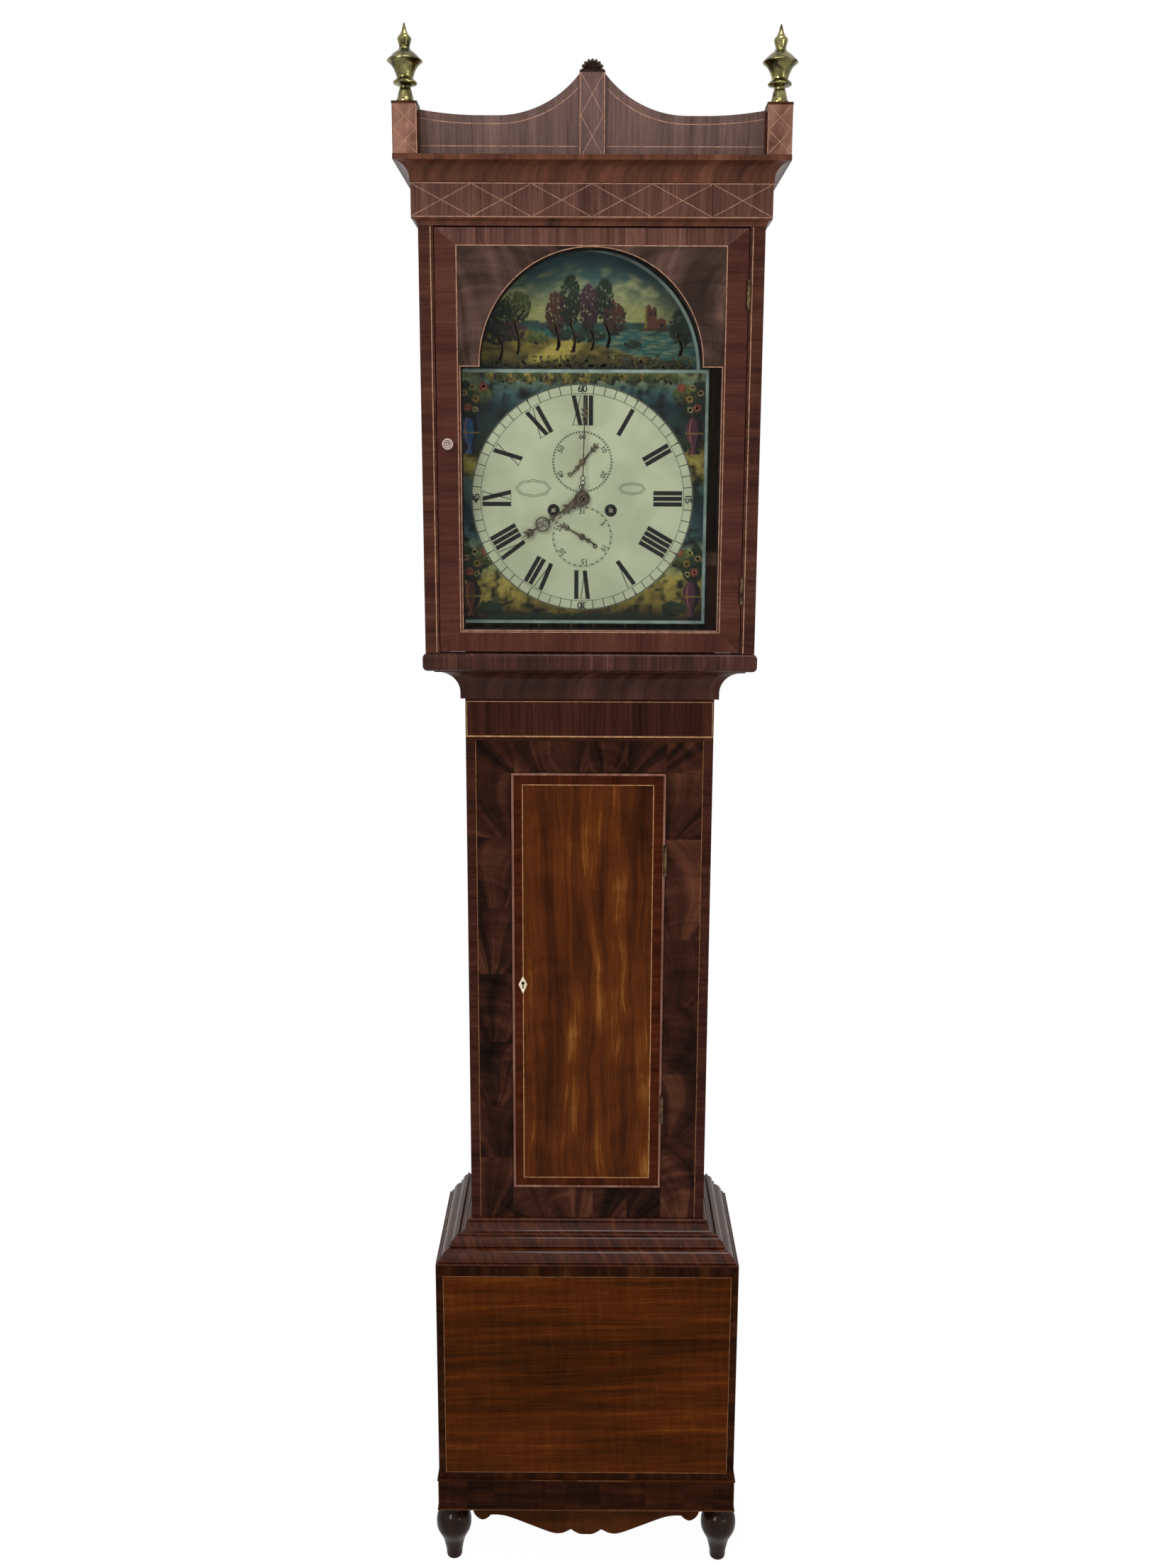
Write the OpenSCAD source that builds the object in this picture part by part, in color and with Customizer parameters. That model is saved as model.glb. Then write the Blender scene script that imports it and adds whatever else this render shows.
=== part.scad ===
// Longcase clock: mahogany case with base, waist and lift-off hood, and an
// eight-day movement with going and striking trains behind an arched dial.
// Millimetres. X to the right, Y to the rear, Z up, feet on Z = 0.

/* [Base] */
// Height of the turned feet
foot_h = 112; // [90:1:130]
// Widest radius of a foot
foot_r = 28.5; // [24:0.5:30]
// Width of the base
base_w = 473; // [450:1:500]
// Depth of the base
base_d = 240; // [232:1:262]
// Height of the skirt board round the bottom
skirt_h = 57; // [45:1:70]
// Height of the base panel above the skirt
panel_h = 374; // [300:1:420]
// Drop of the shaped apron below the skirt
apron_h = 45; // [30:1:55]
// Height of the moulding between base and waist
base_mould_h = 55; // [50:1:60]

/* [Waist] */
// Width of the waist
waist_w = 367; // [350:1:380]
// Depth of the waist
waist_d = 187; // [182:1:192]
// Visible height of the waist
waist_h = 830; // [780:1:880]
// Width of the waist door
door_w = 230.5; // [200:0.5:240]
// Height of the waist door
door_h = 665; // [600:1:690]
// Height of the door above the base moulding
door_up = 53; // [40:1:70]
// Height of the cove moulding under the hood
throat_h = 45; // [40:1:50]

/* [Hood] */
// Width of the hood over its side boards
hood_w = 470; // [460:1:480]
// Depth of the hood
hood_d = 237; // [230:1:245]
// Height of the round-nosed rail at the foot of the hood
hood_rail_h = 27; // [24:1:30]
// Height of the hood between that rail and the frieze
hood_h = 578; // [570:1:600]
// Width of the opening in the hood door
sight_w = 360; // [350:1:364]
// Height of the square part of that opening
sight_h = 361.5; // [350:0.5:370]
// Radius of the arch of that opening
arch_r = 153.5; // [145:0.5:158]
// Height of the frieze
frieze_h = 45; // [35:1:60]
// Height of the cornice
cornice_h = 31; // [28:1:36]
// Projection of the cornice beyond the hood
cornice_out = 29; // [26:1:32]
// Height of the pediment at its middle block
pediment_h = 107; // [95:1:115]
// Height of the blocks at the corners
block_h = 62; // [56:1:70]
// Height of a finial
finial_h = 99; // [80:1:110]
// Radius of a finial at its rim
finial_r = 23.4; // [19:0.2:24]

/* [Dial and hands] */
// Width of the dial plate
dial_w = 356; // [340:1:360]
// Distance of the dial centre to the left of the middle of the case
dial_left = 12; // [8:1:13]
// Distance of the seconds arbor above the dial centre
seconds_up = 51; // [49:0.5:52]
// Length of the minute hand
minute_l = 146; // [130:1:155]
// Length of the hour hand
hour_l = 105; // [95:1:110]
// Length of the seconds hand
seconds_l = 35; // [30:1:40]
// Length of the calendar hand
calendar_l = 38; // [32:1:40]

/* [Movement] */
// Space between the plates
plate_gap = 62; // [62:1:66]
// Module of the great wheels and the centre pinion
great_m = 0.85; // [0.83:0.01:0.87]
// Module of the third wheel and escape pinion
third_m = 0.8; // [0.78:0.01:0.82]
// Radius of the barrels
barrel_r = 22.9; // [20:0.1:24]
// Length of the pendulum from suspension to the middle of the bob
pendulum_l = 990; // [960:1:994]
// Radius of the pendulum bob
bob_r = 55; // [45:1:60]
// Radius of a weight
weight_r = 31; // [26:1:33]
// Height of a weight
weight_h = 170; // [140:1:190]

/* [Making] */
// Thickness of the case boards
board_t = 14; // [12:0.5:16]
// Thickness of the front frame and doors
frame_t = 18; // [16:0.5:20]
// Gap round a door
door_gap = 1; // [0.6:0.1:1.5]
// Radial clearance of a pivot in its hole
pivot_gap = 0.05; // [0.03:0.01:0.08]
// Gap between pieces that slide past each other
slide_gap = 0.3; // [0.2:0.05:0.5]
// Width of the glue line in a mitre
mitre_gap = 0.1; // [0.05:0.05:0.2]

/* [Hidden] */
$fn = 96;
big = 1200;

// heights
skirt_z = foot_h;
panel_z = skirt_z + skirt_h;
base_top = panel_z + panel_h;
waist_z = base_top + base_mould_h;
throat_z = waist_z + waist_h;
hood_seat_z = throat_z + throat_h;
hood_z = hood_seat_z + slide_gap;
hood_body_z = hood_seat_z + hood_rail_h;
bead_h = 9;
bead_z = hood_body_z + hood_h;
frieze_z = bead_z + bead_h;
cornice_z = frieze_z + frieze_h;
top_z = cornice_z + cornice_h;
top_t = 12;

// depths, with the middle of the whole depth at Y = 0: the finials overhang the cornice
cap_w = 34;
back_y = (hood_d + cornice_out + finial_r - cap_w / 2) / 2;
base_y = back_y - base_d;
waist_y = back_y - waist_d;
hood_y = back_y - hood_d;
cornice_y = hood_y - cornice_out;
inner_y = back_y - board_t;
mould_out = (base_w - waist_w) / 2;

// case
waist_in = waist_w / 2 - board_t;
hood_side_t = 12;
hood_in = hood_w / 2 - hood_side_t;
ear_w = hood_in - 1.5;
cheek_top = hood_body_z + 122;
seat_t = 18;
seat_z = cheek_top + seat_t;
seat_front = waist_y + frame_t;
floor_z = skirt_z + 12;
floor_t = 12;

// waist door
door_x = -door_w / 2 - 1.2;
door_z = waist_z + door_up;
door_proud = 1;
cock_bead = 2;
door_right = door_x + door_w;
hinge_x = door_right + door_gap / 2;
hinge_y = waist_y - door_proud - cock_bead - 1;
knuckle_r = 3;
leaf_t = 1.1;
lock_z = door_z + door_h / 2 + 1.5;
lock_w = 50;
lock_h = 42;
lock_t = 11;
bolt_t = 4;

// hood door
hood_stile_w = 21;
hood_door_half = hood_w / 2 - hood_stile_w - door_gap / 2;
hood_frame_t = 20;
hood_door_z = hood_body_z + 2;
hood_door_h = hood_h - 4;
sight_z = hood_body_z + 33;
hood_hinge_x = hood_w / 2 - hood_stile_w;
hood_hinge_y = hood_y - 1.5;
glass_t = 2.5;
glass_y = hood_y + 8;
rebate = 6;
mask_t = 8;
mask_y = hood_y + hood_frame_t + 1;

// dial and movement
dial_x = -dial_left;
dial_z = hood_body_z + 217;
dial_t = 1.8;
dial_y = hood_y + 44;
arbor_z = -16.6;
plate_t = 3;
plate_w = 165;
back_plate_y = dial_y + 105;
front_plate_y = back_plate_y - plate_gap - plate_t;
plates_h = 195;
pillar_xz = [[-50, -70], [50, -70], [-75, 108], [75, 108]];

// wheels: teeth, pitch radii and places from the dial centre
centre_n = 60;
great_n = 96;
strike_n = 84;
third_n = 56;
great_rp = great_m * great_n / 2;
centre_leaf_rp = great_m * 8 / 2;
centre_rp = great_m * centre_n / 2;
third_leaf_rp = great_m * 8 / 2;
third_rp = third_m * third_n / 2;
escape_leaf_rp = third_m * 7 / 2;
mesh_a = centre_rp + third_leaf_rp;
mesh_b = third_rp + escape_leaf_rp;
third_z = (pow(mesh_a, 2) - pow(mesh_b, 2) + pow(seconds_up, 2)) / (2 * seconds_up);
third_x = -sqrt(pow(mesh_a, 2) - pow(third_z, 2));
great_x = sqrt(pow(great_rp + centre_leaf_rp, 2) - pow(arbor_z, 2));
escape_r = 22;
pallet_z = seconds_up + escape_r * 1.4545;
motion_n = 36;
motion_m = 0.75;
motion_rp = motion_m * motion_n / 2;
hour_n = 72;
hour_m = 2 * (motion_rp * 2) / (hour_n + 6);
minute_z = -2 * motion_rp;
calendar_z = -54;
line_r = 1;
wind_r = barrel_r + 0.1 + line_r;

// weights and pendulum
line_y = back_plate_y - 31;
weight_z = floor_z + floor_t + 14;
pulley_z = weight_z + weight_h + 43;
swing_y = back_plate_y + 40.5;
swing_z = dial_z + pallet_z;
rod_r = 2.5;

// Catmull-Rom curve through the points of a profile, n steps a span
function spline(a, b, c, d, t) = 0.5 * (2 * b + (c - a) * t + (2 * a - 5 * b + 4 * c - d) * t * t
    + (3 * b - a - 3 * c + d) * t * t * t);
function smooth(p, n = 4) = concat([for (i = [0:len(p) - 2]) for (k = [0:n - 1])
    spline(p[max(i - 1, 0)], p[i], p[i + 1], p[min(i + 2, len(p) - 1)], k / n)], [p[len(p) - 1]]);

// A turned shape from the radius and height of its profile
module turned(profile, n = 4) {
    z0 = profile[0][1];
    z1 = profile[len(profile) - 1][1];
    rotate_extrude() polygon(concat([[0, z0]], smooth(profile, n), [[0, z1]]));
}

// A box from its lowest to its highest corner
module block(lo, hi) {
    translate(lo) cube([hi[0] - lo[0], hi[1] - lo[1], hi[2] - lo[2]]);
}

// An outline in X and Z, as seen from the front, cut from a board y0 to y1
module upright(y0, y1) {
    translate([0, y1, 0]) rotate([90, 0, 0]) linear_extrude(y1 - y0) children();
}

// A rod along Y
module rod(x, z, y0, y1, r, fn = 48) {
    translate([x, y0, z]) rotate([-90, 0, 0]) cylinder(r = r, h = y1 - y0, $fn = fn);
}

// A pair, mirrored about the middle of the case
module pair() {
    children();
    mirror([1, 0, 0]) children();
}

// A moulding mitred round the front and both sides of a case part whose faces lie at
// half_w and at face_y: the profile's x is its projection and y its height
module mitred(half_w, face_y, z) {
    intersection() {
        translate([0, face_y, z]) rotate([90, 0, -90])
            linear_extrude(2 * half_w + big / 2, center = true) children();
        linear_extrude(4 * big, center = true)
            polygon([[mitre_gap - half_w, face_y], [half_w - mitre_gap, face_y],
                [half_w + big - mitre_gap, face_y - big], [mitre_gap - half_w - big, face_y - big]]);
    }
    pair() intersection() {
        translate([half_w, back_y, z]) rotate([90, 0, 0]) linear_extrude(big) children();
        linear_extrude(4 * big, center = true)
            polygon([[half_w, face_y], [half_w + big, face_y - big],
                [half_w + big, back_y], [half_w, back_y]]);
    }
}

// Outline of the arched opening of the hood door, grown by d
module arched(d = 0) {
    translate([-sight_w / 2 - d, sight_z - d]) square([sight_w + 2 * d, sight_h + 2 * d]);
    translate([0, sight_z + sight_h + 3]) circle(arch_r + d);
}

// Two halves of a butt hinge of length l whose pin stands at x, y from z up
module hinge_fixed(x, y, z, l, deep) {
    for (k = [0, 2]) difference() {
        union() {
            translate([x, y, z + k * l / 3 + 0.1]) cylinder(r = knuckle_r, h = l / 3 - 0.2);
            block([x + 0.15, y, z + k * l / 3 + 0.1],
                [x + 0.15 + leaf_t, y + deep, z + (k + 1) * l / 3 - 0.1]);
        }
        translate([x, y, z - 1]) cylinder(r = 1.2, h = l + 2, $fn = 32);
    }
    block([x + 0.15, y + knuckle_r + 0.6, z + l / 3 - 0.1],
        [x + 0.15 + leaf_t, y + deep, z + 2 * l / 3 + 0.1]);
    translate([x, y, z - 1]) cylinder(r = 1.2, h = l + 2, $fn = 32);
    for (e = [z - 1, z + l]) translate([x, y, e]) cylinder(r = 2, h = 1.1, $fn = 32);
}

module hinge_moving(x, y, z, l, deep) {
    difference() {
        union() {
            translate([x, y, z + l / 3 + 0.1]) cylinder(r = knuckle_r, h = l / 3 - 0.2);
            block([x - 0.15 - leaf_t, y, z + l / 3 + 0.1], [x - 0.15, y + deep, z + 2 * l / 3 - 0.1]);
        }
        translate([x, y, z - 1]) cylinder(r = 1.2 + pivot_gap, h = l + 2, $fn = 32);
    }
    for (k = [0, 2]) block([x - 0.15 - leaf_t, y + knuckle_r + 0.6, z + k * l / 3 + (k == 0 ? 0.1 : -0.1)],
        [x - 0.15, y + deep, z + (k + 1) * l / 3 + (k == 0 ? 0.1 : -0.1)]);
}

// Room for the leaves and knuckles of that hinge, cut from the door and its frame
module hinge_room(x, y, z, l, deep, side) {
    translate([x, y, z - 1.5]) cylinder(r = knuckle_r + 0.4, h = l + 3);
    block([min(x, x + side * (leaf_t + 0.2)), y, z - 0.2],
        [max(x, x + side * (leaf_t + 0.2)), y + deep + 0.2, z + l + 0.2]);
}

waist_hinge_l = 46;
waist_hinges = [door_z + 109, door_z + door_h - 156];
hood_hinge_l = 37;
hood_hinges = [hood_body_z + 71, hood_body_z + hood_h - 107];

module backboard() {
    b = base_w / 2;
    w = waist_w / 2;
    color("#5a3a22") upright(inner_y, back_y)
        polygon([[-b, skirt_z], [b, skirt_z], [b, base_top], [w, base_top], [w, hood_body_z],
            [ear_w, hood_body_z], [ear_w, top_z - top_t - 3], [-ear_w, top_z - top_t - 3],
            [-ear_w, hood_body_z], [-w, hood_body_z], [-w, base_top], [-b, base_top]]);
}

module base_front_panel() {
    color("#8a4a22") block([-base_w / 2, base_y, panel_z], [base_w / 2, base_y + board_t, base_top]);
}

module base_sides() {
    color("#7a4020") pair() block([base_w / 2 - board_t, base_y + board_t, panel_z],
        [base_w / 2, inner_y, base_top]);
}

module base_floor() {
    w = base_w / 2 - board_t;
    color("#5a3a22") block([-w, base_y + board_t, floor_z], [w, inner_y, floor_z + floor_t]);
}

// The skirt boards stand 1.5 proud of the base, with a bead along both edges, and the
// shaped apron hangs under the front one
module skirt() {
    color("#744020") difference() {
        mitred(base_w / 2 - board_t, base_y + board_t, skirt_z) {
            square([board_t + 1.5, skirt_h]);
            translate([board_t + 1.5, 2]) circle(1.8);
            translate([board_t + 1.5, skirt_h - 2]) circle(1.8);
        }
        block([-base_w, inner_y, skirt_z - 1], [base_w, back_y + 1, panel_z + 1]);
    }
    edge = [for (p = concat(smooth([[183, 0], [181, 8], [175, 15.5], [167.5, 19], [160, 16], [154, 10]]),
        smooth([[154, 10], [142, 10], [128, 12.5], [111, 19], [96, 25.5], [82, 31.5], [68, 37.5],
            [56, 42], [46, 43.8], [36, 42], [28.5, 38], [24, 36]]),
        smooth([[24, 36], [19, 40], [10, 44.5], [0, 45]]))) [p[0], -p[1] * apron_h / 45]];
    color("#744020") translate([0, 0, skirt_z]) upright(base_y + 1, base_y + 11)
        polygon(concat(edge, [for (i = [len(edge) - 1:-1:0]) [-edge[i][0], edge[i][1]]]));
}

foot_x = base_w / 2 - 19;
foot_profile = [[11, 0], [12.4, 2], [12.9, 6], [13.3, 12], [14.7, 20], [17.3, 31.4], [20.2, 39],
    [foot_r - 2.6, 50.6], [foot_r - 0.5, 58], [foot_r, 66], [foot_r - 0.8, 74], [foot_r - 3.2, 81.4],
    [19.5, 88], [16.5, 92], [20, 96], [20, 103], [17, 106], [21, 112]];

module feet() {
    color("#4a2413") for (x = [-foot_x, foot_x], y = [base_y + 37, back_y - 32])
        translate([x, y, 0])
            turned([for (p = foot_profile) [p[0], p[1] * foot_h / 112]]);
}

// Thumb mould, fillet, ogee and top bead, from the outside in
module base_moulding() {
    color("#6b3218") mitred(waist_w / 2, waist_y, base_top)
        scale([mould_out / 53, base_mould_h / 55]) {
            square([53, 2.5]);
            square([30.5, 24]);
            intersection() {
                translate([30, 2.5]) circle(17);
                translate([29, 0]) square(60);
            }
            intersection() {
                translate([19.5, 24]) circle(11);
                square([53, 35]);
            }
            difference() {
                square([19.5, 48.5]);
                translate([19.5, 48.5]) circle(13.5);
            }
            square([6, 49]);
            square([3, 55]);
            translate([3, 52]) circle(3);
            for (reed = [[20, 36], [31.2, 22.6], [47.6, 4]]) translate(reed) circle(1.9);
        }
}

module waist_front_frame() {
    w = waist_w / 2;
    left = door_x - door_gap - 0.5;
    right = door_right + door_gap;
    low = door_z - door_gap;
    high = door_z + door_h + door_gap;
    color("#5c2a14") difference() {
        for (s = [[[-w, waist_y, base_top], [left, waist_y + frame_t, hood_seat_z]],
            [[right, waist_y, base_top], [w, waist_y + frame_t, hood_seat_z]],
            [[left, waist_y, base_top], [right, waist_y + frame_t, low]],
            [[left, waist_y, high], [right, waist_y + frame_t, hood_seat_z]]]) block(s[0], s[1]);
        for (z = waist_hinges) hinge_room(hinge_x, hinge_y, z, waist_hinge_l, 19, 1);
    }
}

module waist_sides() {
    color("#6b3218") pair() block([waist_in, waist_y + frame_t, base_top - 43],
        [waist_w / 2, inner_y, cheek_top]);
}

// Cove that carries the hood
module throat_moulding() {
    top_out = hood_w / 2 - waist_w / 2 - 11;
    color("#6b3218") mitred(waist_w / 2, waist_y, throat_z)
        scale([top_out / 40.5, throat_h / 45]) difference() {
            square([40.5, 45]);
            translate([40.5, 9]) circle(34);
            translate([6.51, -1]) square([35, 10]);
        }
}

module waist_hinge_plates() {
    color("#a8843c") for (z = waist_hinges) hinge_fixed(hinge_x, hinge_y, z, waist_hinge_l, 19);
}

module waist_hinge_leaves() {
    color("#a8843c") for (z = waist_hinges) hinge_moving(hinge_x, hinge_y, z, waist_hinge_l, 19);
}

key_x = door_x + 16;
key_r = 2.5;

module keyway(y0, y1) {
    rod(key_x, lock_z + 3, y0, y1, key_r);
    block([key_x - 1, y0, lock_z - 6], [key_x + 1, y1, lock_z + 3]);
}

// Board with a cock bead standing proud all round
module waist_door() {
    face = waist_y - door_proud;
    color("#9a5526") difference() {
        union() {
            block([door_x, face, door_z], [door_right, waist_y + frame_t, door_z + door_h]);
            difference() {
                block([door_x, face - cock_bead, door_z], [door_right, face + 1, door_z + door_h]);
                block([door_x + 3.5, face - 9, door_z + 3.5],
                    [door_right - 3.5, face, door_z + door_h - 3.5]);
            }
        }
        for (z = waist_hinges) hinge_room(hinge_x, hinge_y, z, waist_hinge_l, 19, -1);
        keyway(face - 1, waist_y + frame_t + 1);
    }
}

// Kite-shaped bone plate round the keyhole
module keyhole_plate() {
    face = waist_y - door_proud;
    color("#e8dcc0") difference() {
        translate([key_x, 0, lock_z]) upright(face - 0.8, face)
            polygon([[0, -14], [6.7, 1], [0, 14], [-6.7, 1]]);
        keyway(face - 2, face + 1);
    }
}

module waist_lock() {
    y = waist_y + frame_t;
    color("#8d8d88") difference() {
        block([door_x + 1.5, y, lock_z - lock_h / 2], [door_x + lock_w, y + lock_t, lock_z + lock_h / 2]);
        block([door_x, y + 1.5, lock_z - 8.3], [door_x + 34, y + 2 + bolt_t, lock_z + 8.3]);
    }
}

module lock_bolt() {
    y = waist_y + frame_t;
    color("#a8843c") block([door_x + 1.5, y + 1.75, lock_z - 8],
        [door_x + 24, y + 1.75 + bolt_t, lock_z + 8]);
}

// Carries the movement, with holes for the four runs of line
module seatboard() {
    color("#6a4a2c") difference() {
        block([-waist_w / 2, seat_front, cheek_top], [waist_w / 2, swing_y - 16.5, seat_z]);
        for (s = [-1, 1], e = [-1, 1]) translate([dial_x + s * great_x + e * wind_r, line_y, cheek_top - 1])
            cylinder(r = 4, h = seat_t + 2);
    }
}

// Side boards, and the narrow stiles beside the door
module hood_sides() {
    color("#6b3218") pair() block([hood_in, hood_y + hood_frame_t, hood_body_z],
        [hood_w / 2, back_y, bead_z]);
    color("#6b3218") difference() {
        pair() block([hood_w / 2 - hood_stile_w + door_gap / 2, hood_y, hood_body_z],
            [hood_w / 2, hood_y + hood_frame_t, bead_z]);
        for (z = hood_hinges) hinge_room(hood_hinge_x, hood_hinge_y, z, hood_hinge_l, 17, 1);
    }
}

// Round-nosed rail on a flat frame that rests on the throat moulding
module hood_rail() {
    out = 4;
    wide = hood_w / 2 + out;
    inner = waist_w / 2 + 11.5;
    nose = wide - inner;
    r = 8;
    h = hood_rail_h - slide_gap;
    color("#6b3218") mitred(inner, hood_y - out + nose, hood_z) {
        square([nose - r, 10]);
        translate([nose - 16, 0]) square([16 - r, h]);
        translate([nose - r - 0.01, r]) square([r, h - 2 * r]);
        for (z = [r, h - r]) translate([nose - r, z]) circle(r);
    }
}

module hood_top_board() {
    w = hood_w / 2 + 8;
    color("#5a3a22") block([-w, hood_y - 8, top_z - top_t], [w, back_y, top_z]);
}

// Frieze boards over a small cove
module frieze() {
    inner = hood_w / 2 - hood_side_t;
    t = hood_side_t + 8;
    color("#5c2a14") mitred(inner, hood_y + hood_side_t, frieze_z)
        square([t, top_z - top_t - frieze_z]);
    color("#5c2a14") mitred(inner, hood_y + hood_side_t, bead_z) difference() {
        square([t, bead_h]);
        translate([t, 1]) circle(6.5);
        translate([t - 6.4, -1]) square([9, 2.2]);
    }
}

module cornice() {
    out = cornice_out - 8;
    r = out - 1.5;
    color("#6b3218") mitred(hood_w / 2 + 8, hood_y - 8, cornice_z) difference() {
        square([out, cornice_h]);
        translate([out, 4.5]) circle(r);
        translate([out - r + 0.01, -1]) square([r + 1, 5.5]);
    }
}

// corner blocks are square in plan, and flush with the cornice
block_w = 33;
block_x = hood_w / 2 + cornice_out - cap_w / 2;
block_y = cornice_y + cap_w / 2;
centre_w = 34.4;
pediment_t = 10;

// Point at part t of an arc that leaves its lowest point level, and ends wide to the side
// and rise above it
function arc_point(wide, rise, t) = let (r = (wide * wide + rise * rise) / (2 * rise),
    a = t * asin(wide / r)) [r * sin(a), r - r * cos(a)];

// One swept wing each side of the middle block
module pediment_board() {
    end = block_x - block_w / 2;
    low = 55;
    // the top edge is level between these two places
    inner = 127;
    outer = 150;
    start = centre_w / 2;
    sweep = concat([for (i = [24:-1:0]) [inner, low] + arc_point(inner - start, pediment_h - low, -i / 24)],
        [for (i = [0:12]) [outer, low] + arc_point(end - outer, block_h - low, i / 12)]);
    color("#6b3218") pair() upright(cornice_y + 32, cornice_y + 32 + pediment_t)
        translate([0, top_z]) polygon(concat([[start, 0]], sweep, [[end, 0]]));
}

// The middle block and the two capped corner blocks
module pediment_blocks() {
    color("#8a4a26") block([-centre_w / 2, cornice_y + 24, top_z],
        [centre_w / 2, cornice_y + 48, top_z + pediment_h]);
    color("#8a4a26") pair() {
        block([block_x - block_w / 2, block_y - block_w / 2, top_z],
            [block_x + block_w / 2, block_y + block_w / 2, top_z + block_h]);
        block([block_x - cap_w / 2, block_y - cap_w / 2, top_z + block_h],
            [block_x + cap_w / 2, block_y + cap_w / 2, top_z + block_h + 3]);
    }
}

// Low carved boss on the middle block
module centre_ornament() {
    z = top_z + pediment_h;
    color("#2a1a12") translate([0, cornice_y + 36, z]) {
        block([-17, -11.5, 0], [17, 11.5, 2.4]);
        block([-15.6, -10.2, 2.4], [15.6, 10.2, 4.2]);
        // seven lobes of a shell that fan out from the middle of the base
        for (a = [-60:20:60]) translate([0, 0, 3]) rotate([0, a, 0]) scale([1, 2.2, 1]) {
            cylinder(r1 = 2.2, r2 = 3.8, h = 11.4, $fn = 12);
            translate([0, 0, 11.4]) cylinder(r1 = 3.8, r2 = 1.6, h = 4.4, $fn = 12);
        }
    }
}

finial_profile = [[12.6, 0], [12.6, 3], [10.6, 6.6], [8.8, 14.8], [7.4, 19], [8.2, 22], [14.4, 23.4],
    [15.8, 25], [15, 27], [11, 31.2], [12, 36], [14, 41], [17.6, 47], [22, 50.6], [23.4, 51.8],
    [22.6, 53.4], [19.8, 56], [15, 60.8], [10.5, 64], [7.5, 67.4], [7, 70.7], [8.4, 75.6],
    [9.2, 79], [8, 82], [5.4, 85], [3, 90.4], [1.3, 97], [0.5, 99]];

module finials() {
    color("#b08d45") for (x = [-block_x, block_x]) translate([x, block_y, top_z + block_h + 3])
        turned([for (p = finial_profile) [p[0] * finial_r / 23.4, p[1] * finial_h / 99]], 3);
}

// Board with an arched opening between the hood door and the dial
module dial_mask() {
    color("#2e2018") upright(mask_y, mask_y + mask_t) difference() {
        translate([-hood_in, hood_body_z]) square([2 * hood_in, hood_h]);
        arched();
    }
}

module hood_hinge_plates() {
    color("#a8843c") for (z = hood_hinges)
        hinge_fixed(hood_hinge_x, hood_hinge_y, z, hood_hinge_l, 17);
}

module hood_hinge_leaves() {
    color("#a8843c") for (z = hood_hinges)
        hinge_moving(hood_hinge_x, hood_hinge_y, z, hood_hinge_l, 17);
}

// Two stiles, a bottom rail and an arched top rail, rebated at the back for the glass
module hood_door() {
    w = hood_door_half;
    s = sight_w / 2;
    shoulder = sight_z + sight_h - 8;
    low = hood_door_z;
    high = hood_door_z + hood_door_h;
    color("#6b3218") difference() {
        for (b = [[[-w, hood_y, low], [-s - 4, hood_y + hood_frame_t, high]],
            [[s + 4, hood_y, low], [w, hood_y + hood_frame_t, high]],
            [[-s - 4, hood_y, low], [s + 4, hood_y + hood_frame_t, shoulder]],
            [[-s - 4, hood_y, shoulder], [s + 4, hood_y + hood_frame_t, high]]]) block(b[0], b[1]);
        upright(hood_y - 1, hood_y + hood_frame_t + 1) arched();
        upright(glass_y, hood_y + hood_frame_t + 1) arched(rebate);
        for (z = hood_hinges) hinge_room(hood_hinge_x, hood_hinge_y, z, hood_hinge_l, 17, -1);
    }
}

module hood_glass() {
    color("#bcd0cc", 0.3) upright(glass_y, glass_y + glass_t) arched(rebate - 0.5);
}

module hood_knob() {
    x = -(hood_door_half + sight_w / 2) / 2 - 1.25;
    color("#c9b48a") translate([x, hood_y, hood_body_z + hood_h / 2 + 1]) rotate([90, 0, 0])
        turned([[4, 0], [4, 5], [8, 8], [8.5, 11], [6.5, 13.5], [4, 13], [3, 11.5], [1, 11.5]], 4);
}

// Arched painted sheet with four feet behind it
module dial_plate() {
    arch = dial_w / 2 - 13;
    color("#dfe0c4") difference() {
        union() {
            upright(dial_y, dial_y + dial_t) translate([dial_x, dial_z]) {
                translate([-dial_w / 2, -dial_w / 2]) square(dial_w);
                intersection() {
                    translate([0, dial_w / 2 - 3]) circle(arch);
                    translate([-arch, 0]) square([2 * arch, dial_w]);
                }
            }
            for (x = [-62, 62], z = [-66, 70]) rod(dial_x + x, dial_z + z, dial_y + 1, front_plate_y, 3);
        }
        for (s = [-1, 1]) rod(dial_x + s * great_x, dial_z + arbor_z, dial_y - 1, dial_y + 3, 6.5);
        rod(dial_x, dial_z, dial_y - 1, dial_y + 3, 6);
        rod(dial_x, dial_z + seconds_up, dial_y - 1, dial_y + 3, 2.5);
        rod(dial_x, dial_z + calendar_z, dial_y - 1, dial_y + 4, 1.5 + pivot_gap);
    }
}

plate_low = seat_z - dial_z;
hammer_x = -58.5;
hammer_z = 62;
bell_z = 178;
bell_r = 50;

// The holes that both plates have for the pivots of the trains
module pivot_holes(y0, y1, r_barrel) {
    for (s = [-1, 1]) rod(s * great_x, arbor_z, y0, y1, r_barrel + pivot_gap);
    rod(third_x, third_z, y0, y1, 1.5 + pivot_gap);
    rod(hammer_x, hammer_z, y0, y1, 1.5 + pivot_gap);
}

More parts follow.
